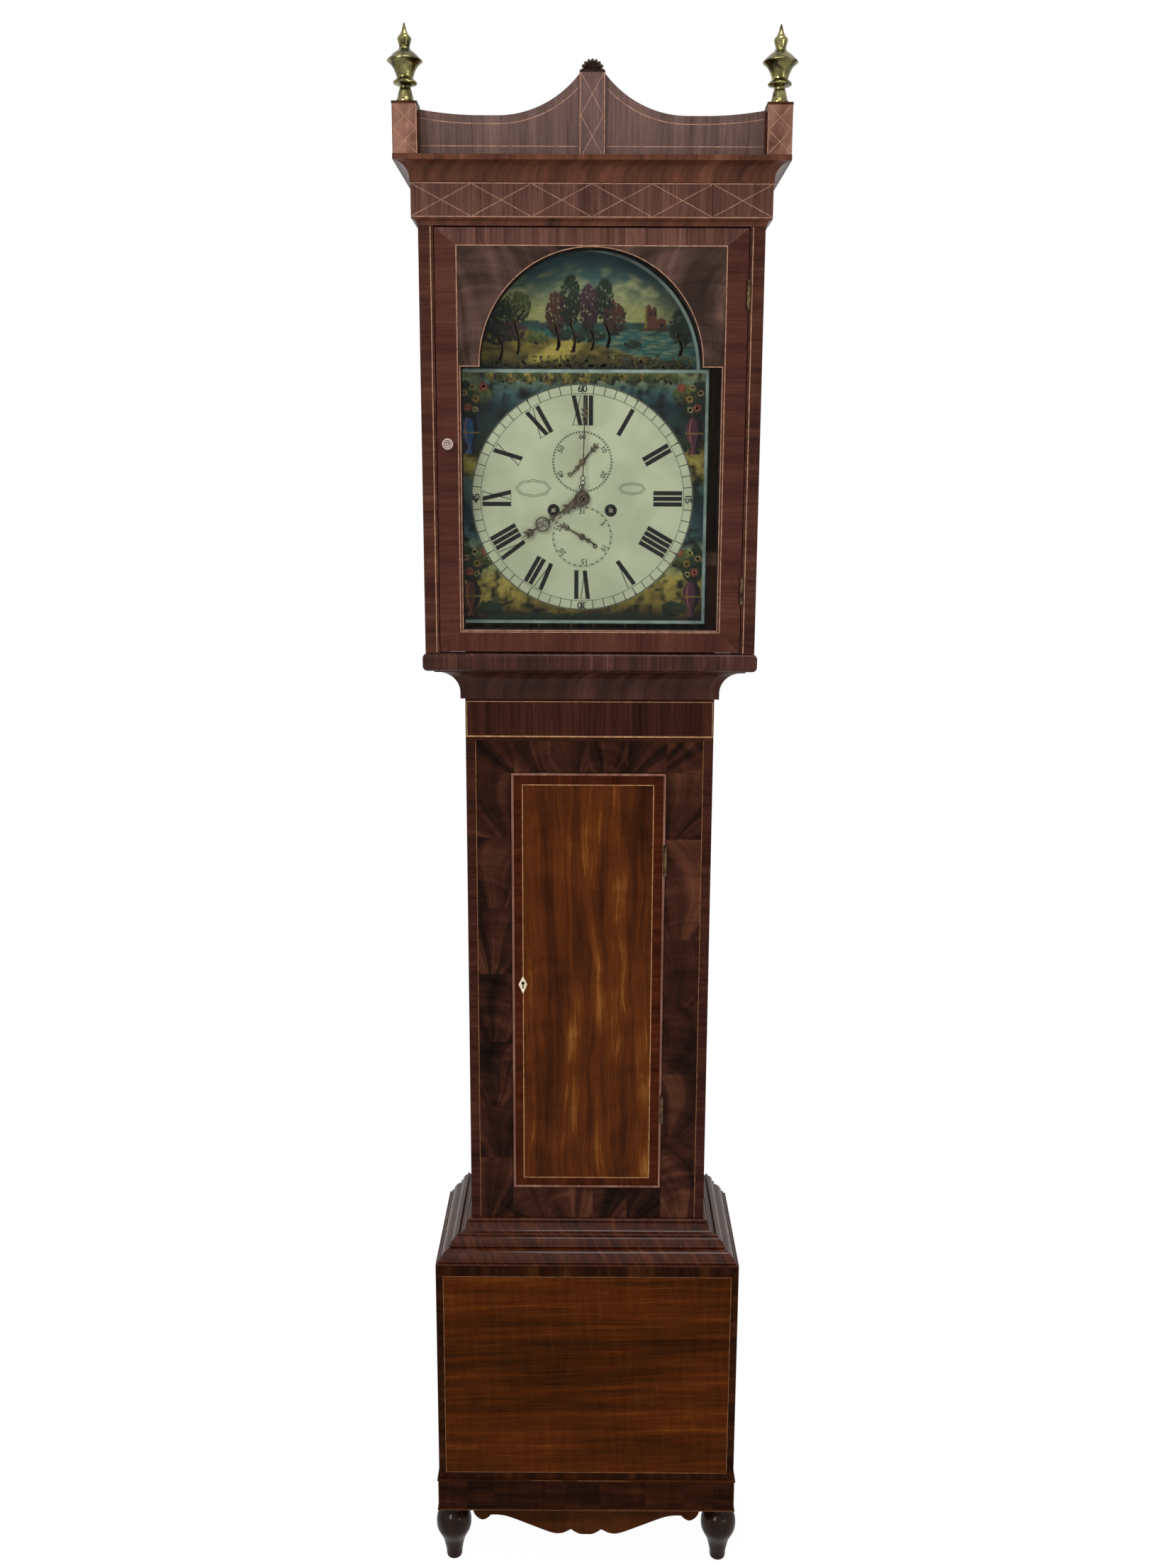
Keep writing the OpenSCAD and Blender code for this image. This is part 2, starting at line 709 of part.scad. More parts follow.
module front_plate() {
    y = front_plate_y;
    color("#b9974a") translate([dial_x, 0, dial_z]) difference() {
        block([-plate_w / 2, y, plate_low], [plate_w / 2, y + plate_t, plate_low + plates_h]);
        pivot_holes(y - 1, y + plate_t + 1, 4);
        rod(0, 0, y - 1, y + plate_t + 1, 2.5 + pivot_gap);
        rod(0, seconds_up, y - 1, y + plate_t + 1, 1.5 + pivot_gap);
        rod(0, pallet_z, y - 1, y + plate_t + 1, 1.5 + pivot_gap);
    }
    color("#b9974a") rod(dial_x, dial_z + minute_z, y - 9, y, 1.5);
}

// Back plate with the cock that carries the pallet arbor and the pendulum
module back_plate() {
    y = back_plate_y;
    color("#b9974a") translate([dial_x, 0, dial_z]) difference() {
        block([-plate_w / 2, y, plate_low], [plate_w / 2, y + plate_t, plate_low + plates_h]);
        pivot_holes(y - 1, y + plate_t + 1, 2.5);
        rod(0, 0, y - 1, y + plate_t + 1, 1.5 + pivot_gap);
        rod(0, seconds_up, y - 1, y + plate_t + 1, 1.5 + pivot_gap);
        rod(0, pallet_z, y - 1, y + plate_t + 1, 8);
    }
    color("#b9974a") translate([dial_x, 0, swing_z]) difference() {
        union() {
            for (s = [-1, 1]) {
                block([min(s * 20, s * 24), y + plate_t, -6], [max(s * 20, s * 24), swing_y + 6, 12]);
                block([min(s * 20, s * 33), y + plate_t, -6], [max(s * 20, s * 33), y + plate_t + 3, 12]);
            }
            block([-24, swing_y - 13, -7], [24, swing_y - 9, 7]);
            block([-24, swing_y - 5, slide_gap], [24, swing_y + 6, 12]);
        }
        rod(0, 0, swing_y - 14, swing_y - 8, 1.5 + pivot_gap);
    }
}

module movement_plates() {
    front_plate();
    back_plate();
}

module pillars() {
    color("#b9974a") for (p = pillar_xz) translate([dial_x + p[0], back_plate_y, dial_z + p[1]])
        rotate([90, 0, 0]) turned([[6, 0], [6, 3], [4, 6], [6, 9], [4.2, 13], [4, plate_gap / 2 - 6],
            [6, plate_gap / 2], [4, plate_gap / 2 + 6], [4.2, plate_gap - 13], [6, plate_gap - 9],
            [4, plate_gap - 6], [6, plate_gap - 3], [6, plate_gap]], 3);
}

// Bell on its stand above the plates
module bell() {
    y = back_plate_y - 18;
    z = dial_z + bell_z;
    foot_z = dial_z + plate_low + plates_h;
    rear = back_plate_y + plate_t - y;
    color("#c4c0a8") translate([dial_x, y, z]) difference() {
        sphere(bell_r);
        sphere(bell_r - 2.6);
        block([-bell_r - 1, -bell_r - 1, -bell_r - 1], [bell_r + 1, bell_r + 1, 8]);
        cylinder(r = 3, h = bell_r + 1);
    }
    color("#8d8d88") translate([dial_x, y, 0]) {
        translate([0, 0, z + bell_r - 2.6]) cylinder(r = 6, h = 6, $fn = 12);
        translate([0, 0, foot_z + 4]) cylinder(r = 2.9, h = z + bell_r - foot_z - 4);
        block([-6, -4, foot_z + 0.3], [6, rear + 4, foot_z + 4]);
        block([-6, rear, foot_z - 12], [6, rear + 4, foot_z + 4]);
    }
}

// Arbor, tail, stem and head of the hammer
module hammer() {
    y = back_plate_y - 18;
    z = bell_z + 12;
    color("#6a6a66") translate([dial_x, 0, dial_z]) {
        rod(hammer_x, hammer_z, front_plate_y, back_plate_y + plate_t, 1.5);
        rod(hammer_x, hammer_z, front_plate_y + plate_t + 1, back_plate_y - 1, 2.5);
        block([hammer_x - 1.5, y - 1.5, hammer_z], [hammer_x + 1.5, y + 1.5, z]);
        translate([hammer_x, y, z]) rotate([0, 90, 0])
            translate([0, 0, -9]) cylinder(r = 5, h = 18);
        block([hammer_x - 2, y + 8, hammer_z - 26], [hammer_x + 2, y + 10, hammer_z]);
    }
}

// Outline of a toothed wheel: pitch radius, teeth, addendum, dedendum and the
// widths of a tooth at its tip and its root
function teeth(n, rp, add, ded, tip, root, turn = 0) = [for (i = [0:n - 1])
    for (q = [[rp - ded, -root / (rp - ded)], [rp + add, -tip / (rp + add)],
        [rp + add, tip / (rp + add)], [rp - ded, root / (rp - ded)]])
    let (a = turn + 360 * i / n + q[1] * 90 / PI) q[0] * [cos(a), sin(a)]];
function wheel_teeth(n, m, turn) =
    teeth(n, n * m / 2, 0.85 * m, 1.2 * m, 0.16 * m * PI, 0.5 * m * PI, turn);
function leaf_teeth(n, m, turn) =
    teeth(n, n * m / 2, 0.55 * m, 1.35 * m, 0.27 * m * PI, 0.255 * m * PI, turn);

// Window between two arms of a wheel
module crossing(r0, r1, arms, arm_w) {
    for (k = [0:arms - 1]) {
        a0 = 360 * k / arms;
        i0 = asin(arm_w / 2 / r0);
        i1 = asin(arm_w / 2 / r1);
        outer = [for (j = [0:6]) a0 + i1 + (360 / arms - 2 * i1) * j / 6];
        inner = [for (j = [2:-1:0]) a0 + i0 + (360 / arms - 2 * i0) * j / 2];
        polygon(concat([for (a = outer) r1 * [cos(a), sin(a)]], [for (a = inner) r0 * [cos(a), sin(a)]]));
    }
}

// A crossed-out wheel on its collet
module wheel(n, m, turn, y, t, arms, hub, bore) {
    rim = n * m / 2 - 1.2 * m - 2.6;
    upright(y, y + t) difference() {
        polygon(wheel_teeth(n, m, turn));
        crossing(hub + 2, rim, arms, 3.4);
        if (bore > 0) circle(bore, $fn = 12);
    }
}

module pinion(n, m, turn, y0, y1) {
    upright(y0, y1) polygon(leaf_teeth(n, m, turn));
}

great_y = back_plate_y - 7.5;
strike_great_y = back_plate_y - 12;
centre_wheel_y = back_plate_y - 56;
third_y = back_plate_y - 36;
escape_y = back_plate_y - 15.5;
great_turn = atan2(-arbor_z, -great_x);
third_turn = atan2(third_z, third_x);
escape_turn = atan2(seconds_up - third_z, -third_x);

// Arbor with the centre wheel and its pinion, reaching forward to the hands
module centre_arbor() {
    color("#b9974a") translate([dial_x, 0, dial_z]) {
        rod(0, 0, back_plate_y - 1, back_plate_y + plate_t, 1.5);
        rod(0, 0, front_plate_y - 0.6, back_plate_y - 1, 2.5);
        rod(0, 0, dial_y - 10, front_plate_y - 0.6, 1.5);
        wheel(centre_n, great_m, third_turn, centre_wheel_y, 2, 5, 6, 0);
        pinion(8, great_m, great_turn + 180 + 22.5, back_plate_y - 8.5, back_plate_y - 3);
    }
}

module third_wheel() {
    color("#b9974a") translate([dial_x + third_x, 0, dial_z + third_z]) {
        rod(0, 0, front_plate_y, back_plate_y + plate_t, 1.5);
        rod(0, 0, front_plate_y + plate_t + 1, back_plate_y - 1, 2);
        wheel(third_n, third_m, escape_turn, third_y, 2, 4, 5, 0);
        pinion(8, great_m, third_turn + 180 + 22.5, centre_wheel_y - 1.5, centre_wheel_y + 3.5);
    }
}

// Thirty pointed teeth that lean forward
module escape_wheel() {
    tips = 30;
    color("#b9974a") translate([dial_x, 0, dial_z + seconds_up]) {
        rod(0, 0, front_plate_y, back_plate_y + plate_t, 1.5);
        rod(0, 0, front_plate_y + plate_t + 1, back_plate_y - 1, 2);
        rod(0, 0, dial_y - 3.2, front_plate_y, 1.2);
        pinion(7, third_m, escape_turn + 180 + 180 / 7, third_y - 1.5, third_y + 3.5);
        upright(escape_y, escape_y + 1.5) difference() {
            polygon([for (i = [0:tips - 1]) for (q = [[escape_r - 4.5, -4], [escape_r, 0.9],
                [escape_r, 1.8], [escape_r - 4.5, 0]])
                let (a = -360 * i / tips - q[1]) q[0] * [cos(a), sin(a)]]);
            crossing(5.5, escape_r - 6.8, 4, 2.6);
        }
    }
}

// Loose on the barrel's arbor, with a plain middle
module great_wheel(s, n, y) {
    color("#b9974a") translate([dial_x + s * great_x, 0, dial_z + arbor_z]) difference() {
        union() {
            wheel(n, great_m, great_turn, y, 2.5, 5, 12, 0);
            upright(y, y + 2.5) circle(12, $fn = 24);
        }
        rod(0, 0, y - 1, y + 4, 4 + pivot_gap);
    }
}

module going_great_wheel() { great_wheel(1, great_n, great_y); }
module strike_great_wheel() { great_wheel(-1, strike_n, strike_great_y); }

// Barrel, end flanges, arbor and winding square in one
module barrel(s) {
    back = back_plate_y - 14.5;
    front = back_plate_y - 48;
    color("#b9974a") translate([dial_x + s * great_x, 0, dial_z + arbor_z]) {
        rod(0, 0, back_plate_y - 1, back_plate_y + plate_t, 2.5);
        rod(0, 0, dial_y + 4, back_plate_y - 1, 4);
        rod(0, 0, front, back, barrel_r);
        rod(0, 0, front, front + 2, barrel_r + 3);
        rod(0, 0, back - 2, back, barrel_r + 3);
        block([-2.8, dial_y - 1.5, -2.8], [2.8, dial_y + 5, 2.8]);
    }
}

module going_barrel() { barrel(1); }
module strike_barrel() { barrel(-1); }

motion_y = front_plate_y - 5;

// Wheel and pipe that carry the minute hand
module cannon_wheel() {
    color("#b9974a") translate([dial_x, 0, dial_z]) difference() {
        union() {
            upright(motion_y, motion_y + 2) polygon(wheel_teeth(motion_n, motion_m, -90));
            rod(0, 0, dial_y - 9.4, front_plate_y - 1, 3);
        }
        rod(0, 0, dial_y - 11, front_plate_y, 1.5 + pivot_gap);
    }
}

module minute_wheel() {
    color("#b9974a") translate([dial_x, 0, dial_z + minute_z]) difference() {
        union() {
            upright(motion_y, motion_y + 2) polygon(wheel_teeth(motion_n, motion_m, 90 + 180 / motion_n));
            pinion(6, hour_m, 90 + 30, motion_y - 3.6, motion_y);
        }
        rod(0, 0, motion_y - 5, motion_y + 3, 1.5 + pivot_gap);
    }
}

module hour_wheel() {
    color("#b9974a") translate([dial_x, 0, dial_z]) difference() {
        union() {
            upright(motion_y - 3.2, motion_y - 1.2) polygon(wheel_teeth(hour_n, hour_m, -90));
            rod(0, 0, dial_y - 5.4, motion_y - 1.2, 4.5);
        }
        rod(0, 0, dial_y - 7, motion_y, 3 + pivot_gap);
    }
}

// Parts of a pierced hand that points up: an open ring, a pair of leaves, a tapering stem
module ring_of(r, bar) {
    difference() {
        circle(r, $fn = 36);
        circle(r - bar, $fn = 36);
    }
}
module leaf_pair(at, wide, high) {
    for (s = [-1, 1]) translate([0, at]) rotate(s * -38) translate([0, high * 0.45])
        scale([wide / high, 1]) circle(high / 2, $fn = 16);
}
module stem(low, high, foot, tip) {
    polygon([[-foot, low], [-tip, high], [tip, high], [foot, low]]);
}
// Hour hand: leafy root, a large ring with two small ones in it, leaves and a thin tip
module hour_outline(l) {
    at = l * 0.64;
    big = 10.8;
    circle(11.2, $fn = 40);
    stem(8, 34, 7.5, 1.8);
    leaf_pair(20, 4, 12);
    stem(30, at - big + 1, 1.7, 1.3);
    leaf_pair(at - big - 9, 3, 8);
    translate([0, at]) {
        ring_of(big, 2.2);
        for (s = [-1, 1]) translate([s * 1.2, s * 4.1]) ring_of(4.7, 1.4);
    }
    stem(at + big - 1, l, 1.6, 0.35);
    for (up = [0.79, 0.85]) leaf_pair(l * up, 3.6, 10);
}
// Minute hand: two small rings by the boss, a thin stem and leaves under the tip
module minute_outline(l) {
    at = l * 0.75;
    circle(7.2, $fn = 36);
    stem(4, 20, 3.8, 1.4);
    for (up = [22, 28.4]) translate([0, up]) ring_of(3.7, 1.3);
    stem(31, at - 2, 0.95, 0.8);
    translate([0, at]) ring_of(3.8, 1.3);
    for (up = [at + 2.5, at + 9]) leaf_pair(up, 2.8, 8);
    stem(at + 2.5, l, 1.2, 0.35);
}
// Small hand with a leaf tip and a curled tail
module small_outline(l, tail) {
    circle(4.6, $fn = 28);
    stem(2, l * 0.7, 1.7, 0.8);
    leaf_pair(l * 0.56, 2.4, 7);
    leaf_pair(l * 0.72, 2.4, 8);
    stem(l * 0.68, l, 1.4, 0.3);
    rotate(180) {
        stem(2, tail - 4, 1.9, 0.9);
        leaf_pair(tail * 0.3, 2.4, 6);
        translate([1.9, tail - 3.2]) ring_of(3.1, 1.5);
    }
}
module minute_hand() {
    color("#8f8b7a") difference() {
        translate([dial_x, 0, dial_z]) {
            upright(dial_y - 9.2, dial_y - 8) rotate(-1.6) minute_outline(minute_l);
            rod(0, 0, dial_y - 9.5, dial_y - 7.8, 4.8);
        }
        rod(dial_x, dial_z, dial_y - 10, dial_y - 7, 3);
    }
}

module hour_hand() {
    color("#8f8b7a") difference() {
        translate([dial_x, 0, dial_z]) {
            upright(dial_y - 5.2, dial_y - 4) rotate(-237) hour_outline(hour_l);
            rod(0, 0, dial_y - 5.5, dial_y - 3.8, 6.3);
        }
        rod(dial_x, dial_z, dial_y - 6, dial_y - 3, 4.5);
    }
}

module seconds_hand() {
    color("#8f8b7a") difference() {
        translate([dial_x, 0, dial_z + seconds_up]) {
            upright(dial_y - 2.2, dial_y - 1.4) rotate(-41) small_outline(seconds_l, 28);
            rod(0, 0, dial_y - 2.8, dial_y - 0.6, 2.2);
        }
        rod(dial_x, dial_z + seconds_up, dial_y - 4, dial_y, 1.2);
    }
}

module calendar_hand() {
    color("#8f8b7a") {
        translate([dial_x, 0, dial_z + calendar_z]) upright(dial_y - 2.2, dial_y - 1.4)
            rotate(60) small_outline(calendar_l, 26);
        rod(dial_x, dial_z + calendar_z, dial_y - 2.8, dial_y - 0.4, 2.4);
        rod(dial_x, dial_z + calendar_z, dial_y - 0.4, dial_y + 4, 1.5);
    }
}

crutch_y = back_plate_y + 19.5;
crutch_l = 128;

// Pallet arbor with the anchor that spans the escape wheel, and the crutch behind
module pallets() {
    color("#8d8d88") translate([dial_x, 0, swing_z]) {
        rod(0, 0, front_plate_y, swing_y - 9, 1.5);
        rod(0, 0, front_plate_y + plate_t + 1, swing_y - 14, 2.5);
        upright(escape_y, escape_y + 1.5) {
            circle(5);
            intersection() {
                translate([0, seconds_up - pallet_z]) difference() {
                    circle(escape_r + 7);
                    circle(escape_r + 2.4);
                }
                polygon([[0, 4], [-36, -21], [36, -21]]);
            }
            translate([-2.5, -4]) square([5, 4]);
        }
        translate([0, crutch_y, -crutch_l]) cylinder(r = 1.5, h = crutch_l);
        rod(0, 0, crutch_y - 2.5, crutch_y + 2.5, 4);
        block([-5, crutch_y - 1.5, -crutch_l - 3], [5, crutch_y + 1.5, -crutch_l]);
        for (s = [-1, 1]) block([min(s * 3, s * 5), crutch_y, -crutch_l - 3],
            [max(s * 3, s * 5), swing_y + 5, -crutch_l]);
    }
}

// Suspension spring, rod, lens-shaped bob and rating nut
module pendulum() {
    lens_r = (pow(bob_r, 2) + pow(13, 2)) / 26;
    color("#c2a04e") translate([dial_x, swing_y, swing_z]) {
        block([-0.2, -5, -42], [0.2, 5, 0]);
        block([-2.5, -6, -48], [2.5, 6, -38]);
        translate([0, 0, -pendulum_l - 60]) cylinder(r = rod_r, h = pendulum_l + 18);
        translate([0, 0, -pendulum_l]) intersection() {
            translate([0, lens_r - 13, 0]) sphere(lens_r, $fn = 180);
            translate([0, 13 - lens_r, 0]) sphere(lens_r, $fn = 180);
        }
        translate([0, 0, -pendulum_l - bob_r - 11]) cylinder(r = 9, h = 8, $fn = 12);
    }
}

// Lead weight with a hooked stirrup, and the loop of line under its pulley
module weight(s) {
    top = weight_z + weight_h;
    color("#6f6a60") translate([dial_x + s * great_x, line_y, 0]) {
        translate([0, 0, weight_z]) turned([[weight_r - 3, 0], [weight_r, 4], [weight_r, weight_h - 12],
            [weight_r - 3, weight_h - 5], [weight_r - 12, weight_h], [4, weight_h]], 3);
        translate([0, 0, top - 1]) cylinder(r = 2.5, h = 10, $fn = 24);
        block([-5, -6.4, top + 8], [5, 6.4, top + 11]);
        for (y = [-6.4, 4.8]) block([-5, y, top + 8], [5, y + 1.6, pulley_z + 6]);
        rod(0, pulley_z, -6, 6, 2);
    }
    color("#b89b62") translate([dial_x + s * great_x, line_y, pulley_z]) rotate([-90, 0, 0])
        rotate_extrude(angle = 180) translate([wind_r, 0]) circle(line_r, $fn = 16);
}

module going_weight() { weight(1); }
module strike_weight() { weight(-1); }

module pulley(s) {
    groove = wind_r - line_r - 0.2;
    color("#b9974a") translate([dial_x + s * great_x, line_y, pulley_z]) rotate([-90, 0, 0])
        rotate_extrude() polygon([[2 + pivot_gap, -4], [groove + 4.2, -4], [groove + 4.2, -2.6],
            [groove, -1.2], [groove, 1.2], [groove + 4.2, 2.6], [groove + 4.2, 4], [2 + pivot_gap, 4]]);
}

module going_pulley() { pulley(1); }
module strike_pulley() { pulley(-1); }

// The two runs of line between the seatboard and the pulley
module line(s) {
    color("#b89b62") for (e = [-1, 1]) translate([dial_x + s * great_x + e * wind_r, line_y, pulley_z])
        cylinder(r = line_r, h = cheek_top - pulley_z, $fn = 16);
}

module going_line() { line(1); }
module strike_line() { line(-1); }

// From the seatboard up to each barrel, and the knotted fast ends
module line_tops() {
    color("#b89b62") for (s = [-1, 1]) translate([dial_x + s * great_x, line_y, cheek_top]) {
        translate([-wind_r, 0, 0]) cylinder(r = line_r, h = dial_z + arbor_z - cheek_top, $fn = 16);
        translate([wind_r, 0, 0]) cylinder(r = line_r, h = seat_t + 4, $fn = 16);
        translate([wind_r, 0, seat_t + 3.3]) sphere(5, $fn = 24);
    }
}

backboard();
base_front_panel();
base_sides();
base_floor();
skirt();
feet();
base_moulding();
waist_front_frame();
waist_sides();
throat_moulding();
waist_hinge_plates();
waist_door();
waist_hinge_leaves();
keyhole_plate();
waist_lock();
lock_bolt();
seatboard();
hood_sides();
hood_rail();
hood_top_board();
frieze();
cornice();
pediment_board();
pediment_blocks();
centre_ornament();
finials();
dial_mask();
hood_hinge_plates();
hood_door();
hood_glass();
hood_knob();
hood_hinge_leaves();
dial_plate();
movement_plates();
pillars();
bell();
hammer();
centre_arbor();
third_wheel();
escape_wheel();
seconds_hand();
going_great_wheel();
strike_great_wheel();
going_barrel();
strike_barrel();
cannon_wheel();
minute_hand();
minute_wheel();
hour_wheel();
hour_hand();
calendar_hand();
pallets();
pendulum();
going_weight();
strike_weight();
going_pulley();
strike_pulley();
going_line();
strike_line();
line_tops();
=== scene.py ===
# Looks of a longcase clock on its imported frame: polished mahogany veneers with stringing,
# a painted dial and metalwork. Metres, X to the right, Y to the rear, Z up.
import math
import random
from itertools import pairwise

import bmesh
import bpy
from mathutils import Matrix, Vector, noise


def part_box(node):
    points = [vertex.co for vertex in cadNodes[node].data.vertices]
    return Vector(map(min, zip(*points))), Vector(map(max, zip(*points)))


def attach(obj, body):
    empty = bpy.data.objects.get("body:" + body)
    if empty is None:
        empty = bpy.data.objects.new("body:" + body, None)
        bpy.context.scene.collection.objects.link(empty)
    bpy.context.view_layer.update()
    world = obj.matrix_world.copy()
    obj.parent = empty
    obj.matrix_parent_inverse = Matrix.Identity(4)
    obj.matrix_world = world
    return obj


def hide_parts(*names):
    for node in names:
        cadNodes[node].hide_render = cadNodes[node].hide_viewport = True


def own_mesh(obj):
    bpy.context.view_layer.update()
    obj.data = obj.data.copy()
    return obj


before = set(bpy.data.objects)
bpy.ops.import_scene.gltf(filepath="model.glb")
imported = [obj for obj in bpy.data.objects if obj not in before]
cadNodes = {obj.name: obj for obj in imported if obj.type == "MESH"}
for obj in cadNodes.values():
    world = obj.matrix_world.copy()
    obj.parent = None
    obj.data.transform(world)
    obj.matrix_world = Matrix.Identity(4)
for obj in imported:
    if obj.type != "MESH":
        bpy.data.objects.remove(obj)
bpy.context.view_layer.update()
mm = 0.001


def hexColor(text):
    # an sRGB hex colour as linear light
    parts = [int(text[i:i + 2], 16) / 255 for i in (1, 3, 5)]
    return (*[c / 12.92 if c <= 0.04045 else ((c + 0.055) / 1.055) ** 2.4 for c in parts], 1.0)


def addNode(tree, kind, inputs=None, stops=(), **settings):
    # one node: inputs take a node, a socket or a plain value, and stops go on a colour ramp
    node = tree.nodes.new(kind)
    for key, value in settings.items():
        setattr(node, key, value)
    for key, value in (inputs or {}).items():
        if isinstance(value, bpy.types.Node):
            value = value.outputs[0]
        if isinstance(value, bpy.types.NodeSocket):
            tree.links.new(value, node.inputs[key])
        else:
            node.inputs[key].default_value = value
    while stops and len(node.color_ramp.elements) < len(stops):
        node.color_ramp.elements.new(0.5)
    for index, (place, color) in enumerate(stops):
        node.color_ramp.elements[index].position = place
        node.color_ramp.elements[index].color = hexColor(color)
    return node


def emptyTree(owner):
    # the cleared node tree of a material or a world
    owner.use_nodes = True
    owner.node_tree.nodes.clear()
    return owner.node_tree


def newMaterial(name):
    material = bpy.data.materials.new(name)
    return material, emptyTree(material)


def endMaterial(tree, inputs):
    shader = addNode(tree, "ShaderNodeBsdfPrincipled", inputs)
    addNode(tree, "ShaderNodeOutputMaterial", {"Surface": shader})


def cloudy(tree, place, sizes, detail=3.0, rough=0.55, distort=0.0):
    # soft random pattern whose parts have these sizes in mm along X, Y and Z
    scaled = addNode(tree, "ShaderNodeVectorMath", {0: place, 1: [1000 / s for s in sizes]},
                     operation="MULTIPLY")
    return addNode(tree, "ShaderNodeTexNoise", {
        "Vector": scaled, "Scale": 1.0, "Detail": detail, "Roughness": rough,
        "Distortion": distort})


